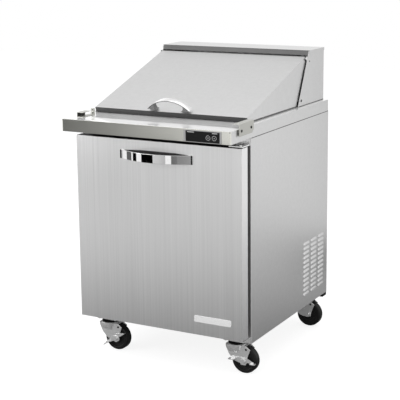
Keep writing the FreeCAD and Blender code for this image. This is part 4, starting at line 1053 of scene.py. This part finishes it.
def key(side):
    """A round press key with a raised ring and dot."""
    low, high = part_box(f"key_{side}")
    middle = (low + high) / 2
    spot = (middle.x, 0, middle.z)
    front = low.y
    cap = front + 0.1 * MM
    deep = front + 0.6 * MM
    inner, outer = 7.4 * MM, 8.5 * MM
    bm = bmesh.new()
    add_disc(bm, (high.x - low.x) / 2, cap, high.y, spot, "y", 0, 40, 0.4 * MM)
    add_lathe(bm, [(inner, front), (outer, front), (outer, deep), (inner, deep)], spot, "y", 1, 40)
    add_disc(bm, 1.8 * MM, front, deep, spot, "y", 1, 20)
    piece(f"key_cap_{side}", bm, f"key_{side}", [GLOSS, SYMBOL], [f"key_{side}"])


# --- refrigeration -------------------------------------------------------------------------------------


def refrigeration():
    """The machinery behind the louvres and in the compartment keeps its CAD shapes."""
    for node, slot, material in (
        ("condenser_coil", "fin_aluminium", FINS), ("evaporator_coil", "fin_aluminium", FINS),
        ("compressor", "black_enamel", ENAMEL), ("fan_motors", "black_enamel", ENAMEL),
        ("refrigerant_lines", "copper", COPPER), ("condenser_fan", "fan_plastic", FAN_PLASTIC),
        ("evaporator_fan", "fan_plastic", FAN_PLASTIC),
    ):
        carried(node, material)
    softened("condenser_shroud", GALVANISED)
    softened("drain_pan", INNER_STEEL)
    softened("air_duct", INNER_STEEL)


# --- casters -------------------------------------------------------------------------------------------

CORNERS = ("front_left", "front_right", "back_left", "back_right")


def add_hex(bm, radius, start, end, spot):
    """A hexagon nut or bolt head along Y."""
    points = [(radius * math.cos(k * math.pi / 3), radius * math.sin(k * math.pi / 3)) for k in range(6)]
    add_prism(bm, [(spot[0] + x, spot[1] + z) for x, z in points], "y", start, end)


def caster_plates():
    """A bolted plate over each caster, with its kingpin."""
    bm = bmesh.new()
    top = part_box("caster_plates")[1].z
    half_x, half_y, thick = 46 * MM, 31 * MM, 4 * MM
    under = top - thick
    for corner in CORNERS:
        x, y = swivel_axis(corner)
        outline = rounded((x - half_x, y - half_y), (x + half_x, y + half_y), 8 * MM)
        add_prism(bm, outline, "z", under, top)
        add_disc(bm, 8 * MM, top - 22 * MM, under, (x, y, 0), "z")
        add_disc(bm, 12.5 * MM, top - 23.3 * MM, top - 21 * MM, (x, y, 0), "z", edge=0.8 * MM)
        for bolt_x in (-36 * MM, 36 * MM):
            for bolt_y in (-22 * MM, 22 * MM):
                spot = (x + bolt_x, y + bolt_y, 0)
                add_disc(bm, 5.5 * MM, under - 3.5 * MM, under, spot, "z", steps=6, edge=0.5 * MM)
    piece("caster_top_plates", bm, "cabinet", ZINC, ["caster_plates"], edge=0.4 * MM)


def swivel_axis(corner):
    """Where a caster's kingpin stands, in plan."""
    joint = next(j for j in frame["joints"] if j["name"] == f"swivel_{corner}")
    return joint["pos_m"][0], joint["pos_m"][1]


FORK_TOP = 107
BULGE_HIGH = 29
BULGE_OUT = 12.4


def add_fork_bulge(bm, x, y, side):
    """The cheek's upper part, pressed out round the kingpin and flattening downwards."""
    rings = []
    steps = 14
    levels = 7
    for level in range(levels + 1):
        down = level / levels
        start = -37.5 + 14 * down * down
        end = 27 - 10 * down
        swell = BULGE_OUT * (1 - down ** 2.2)
        z = (FORK_TOP - BULGE_HIGH * down) * MM
        ring = []
        for k in range(steps + 1):
            across = k / steps
            out = 20.3 + swell * math.sqrt(max(0.0, 1 - (2 * across - 1) ** 2))
            ring.append((x + (start + (end - start) * across) * MM, y + side * out * MM, z))
        inner = y + side * 19 * MM
        ring += [(x + end * MM, inner, z), (x + start * MM, inner, z)]
        rings.append(ring)
    loft(bm, rings)


def fork(corner):
    """A stamped fork: bearing cup, crown, two flanged cheeks and the axle bolt with its nut."""
    x, y = swivel_axis(corner)
    cheek = [(-38, FORK_TOP), (44, FORK_TOP), (62, 94), (48, 60), (46, 42), (28, 40), (10, 42), (-5, 48),
             (-24, 68), (-37, 96)]
    radii = [4, 5, 4, 20, 8, 8, 8, 8, 20, 5]
    outline = round_corners([(a * MM, b * MM) for a, b in cheek], [r * MM for r in radii])
    bm = bmesh.new()
    for near, far in ((-20.5, -18), (18, 20.5)):
        add_prism(bm, [(x + a, b) for a, b in outline], "y", y + near * MM, y + far * MM)
    for side in (-1, 1):
        add_fork_bulge(bm, x, y, side)
    crown = rounded((x - 38 * MM, y - 20.4 * MM), (x + 44 * MM, y + 20.4 * MM), 6 * MM)
    add_prism(bm, crown, "z", 104.5 * MM, FORK_TOP * MM)
    cup = [(8.2, 106), (32, 106), (33.4, 108), (33.4, 110), (8.2, 110)]
    cover = [(8.6, 110), (31, 110), (33, 111.5), (33, 114), (30, 116), (10, 117), (8.6, 117)]
    for slot, profile in enumerate((cup, cover)):
        add_lathe(bm, [(r * MM, z * MM) for r, z in profile], (x, y, 0), "z", slot)
    rim = [(44, 106.5), (61.5, 94), (47.8, 60), (46, 43)]
    for face_y in (-19.2, 19.2):
        add_tube(bm, [(x + a * MM, y + face_y * MM, b * MM) for a, b in rim], 1.7 * MM)
    spot = (x + CASTER_TRAIL, WHEEL_RADIUS)
    add_disc(bm, 5.8 * MM, y - 28 * MM, y + 25.8 * MM, (spot[0], 0, spot[1]), "y", edge=0.6 * MM)
    add_hex(bm, 9 * MM, y - 29 * MM, y - 24.6 * MM, spot)
    add_hex(bm, 9 * MM, y + 20.5 * MM, y + 25.5 * MM, spot)
    for face_y in (-20.9, 20.3):
        start = y + face_y * MM
        add_disc(bm, 4 * MM, start, start + 0.6 * MM, (x + 46 * MM, 0, 94 * MM), "y", 1)
    piece(f"caster_fork_{corner}", bm, f"caster_{corner}", [ZINC, RUBBER], [f"fork_{corner}"])


def wheel(corner):
    """A black wheel: rubber tyre with round shoulders and a ringed centre round the axle."""
    low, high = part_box(f"wheel_{corner}")
    middle = (low + high) / 2
    half = 16
    round_start = 44.8
    hub = 38 * MM
    side = [(6.1, 17.6), (14.2, 17.6), (15, 16.8), (15.2, 15.6), (19, 15.4), (20.4, 10.6), (25.6, 10.2),
            (26.6, 11.4), (27.6, 10.2), (35.6, 10.6), (37.4, 15.4), (38.6, half), (40.4, half), (41, 15.3),
            (41.6, half), (round_start, half)]
    shoulder = [(round_start + 6 * math.sin(turn), 10 + 6 * math.cos(turn))
                for turn in (math.pi / 2 * k / 5 for k in range(1, 6))]
    near = [(r * MM, -along * MM) for r, along in side + shoulder]
    profile = near + [(r, -along) for r, along in reversed(near)]
    bm = bmesh.new()
    add_lathe(bm, profile, middle, "y", steps=64)
    for face in bm.faces:
        centre = face.calc_center_median() - middle
        face.material_index = 1 if math.hypot(centre.x, centre.z) < hub else 0
    finishes = [TREAD, HUB]
    piece(f"caster_wheel_{corner}", bm, f"wheel_{corner}", finishes, [f"wheel_{corner}"])


def casters():
    caster_plates()
    for corner in CORNERS:
        fork(corner)
        wheel(corner)
    softened("brake_front_left", ZINC, 0.5 * MM)
    softened("brake_front_right", ZINC, 0.5 * MM)


# --- build ---------------------------------------------------------------------------------------------

cabinet()
worktop()
rail_front()
seam_shadow_strips()
pans()
hood()
brackets()
side_screws()
lid()
lid_handle()
door()
door_handle()
hinges()
controls()
refrigeration()
casters()
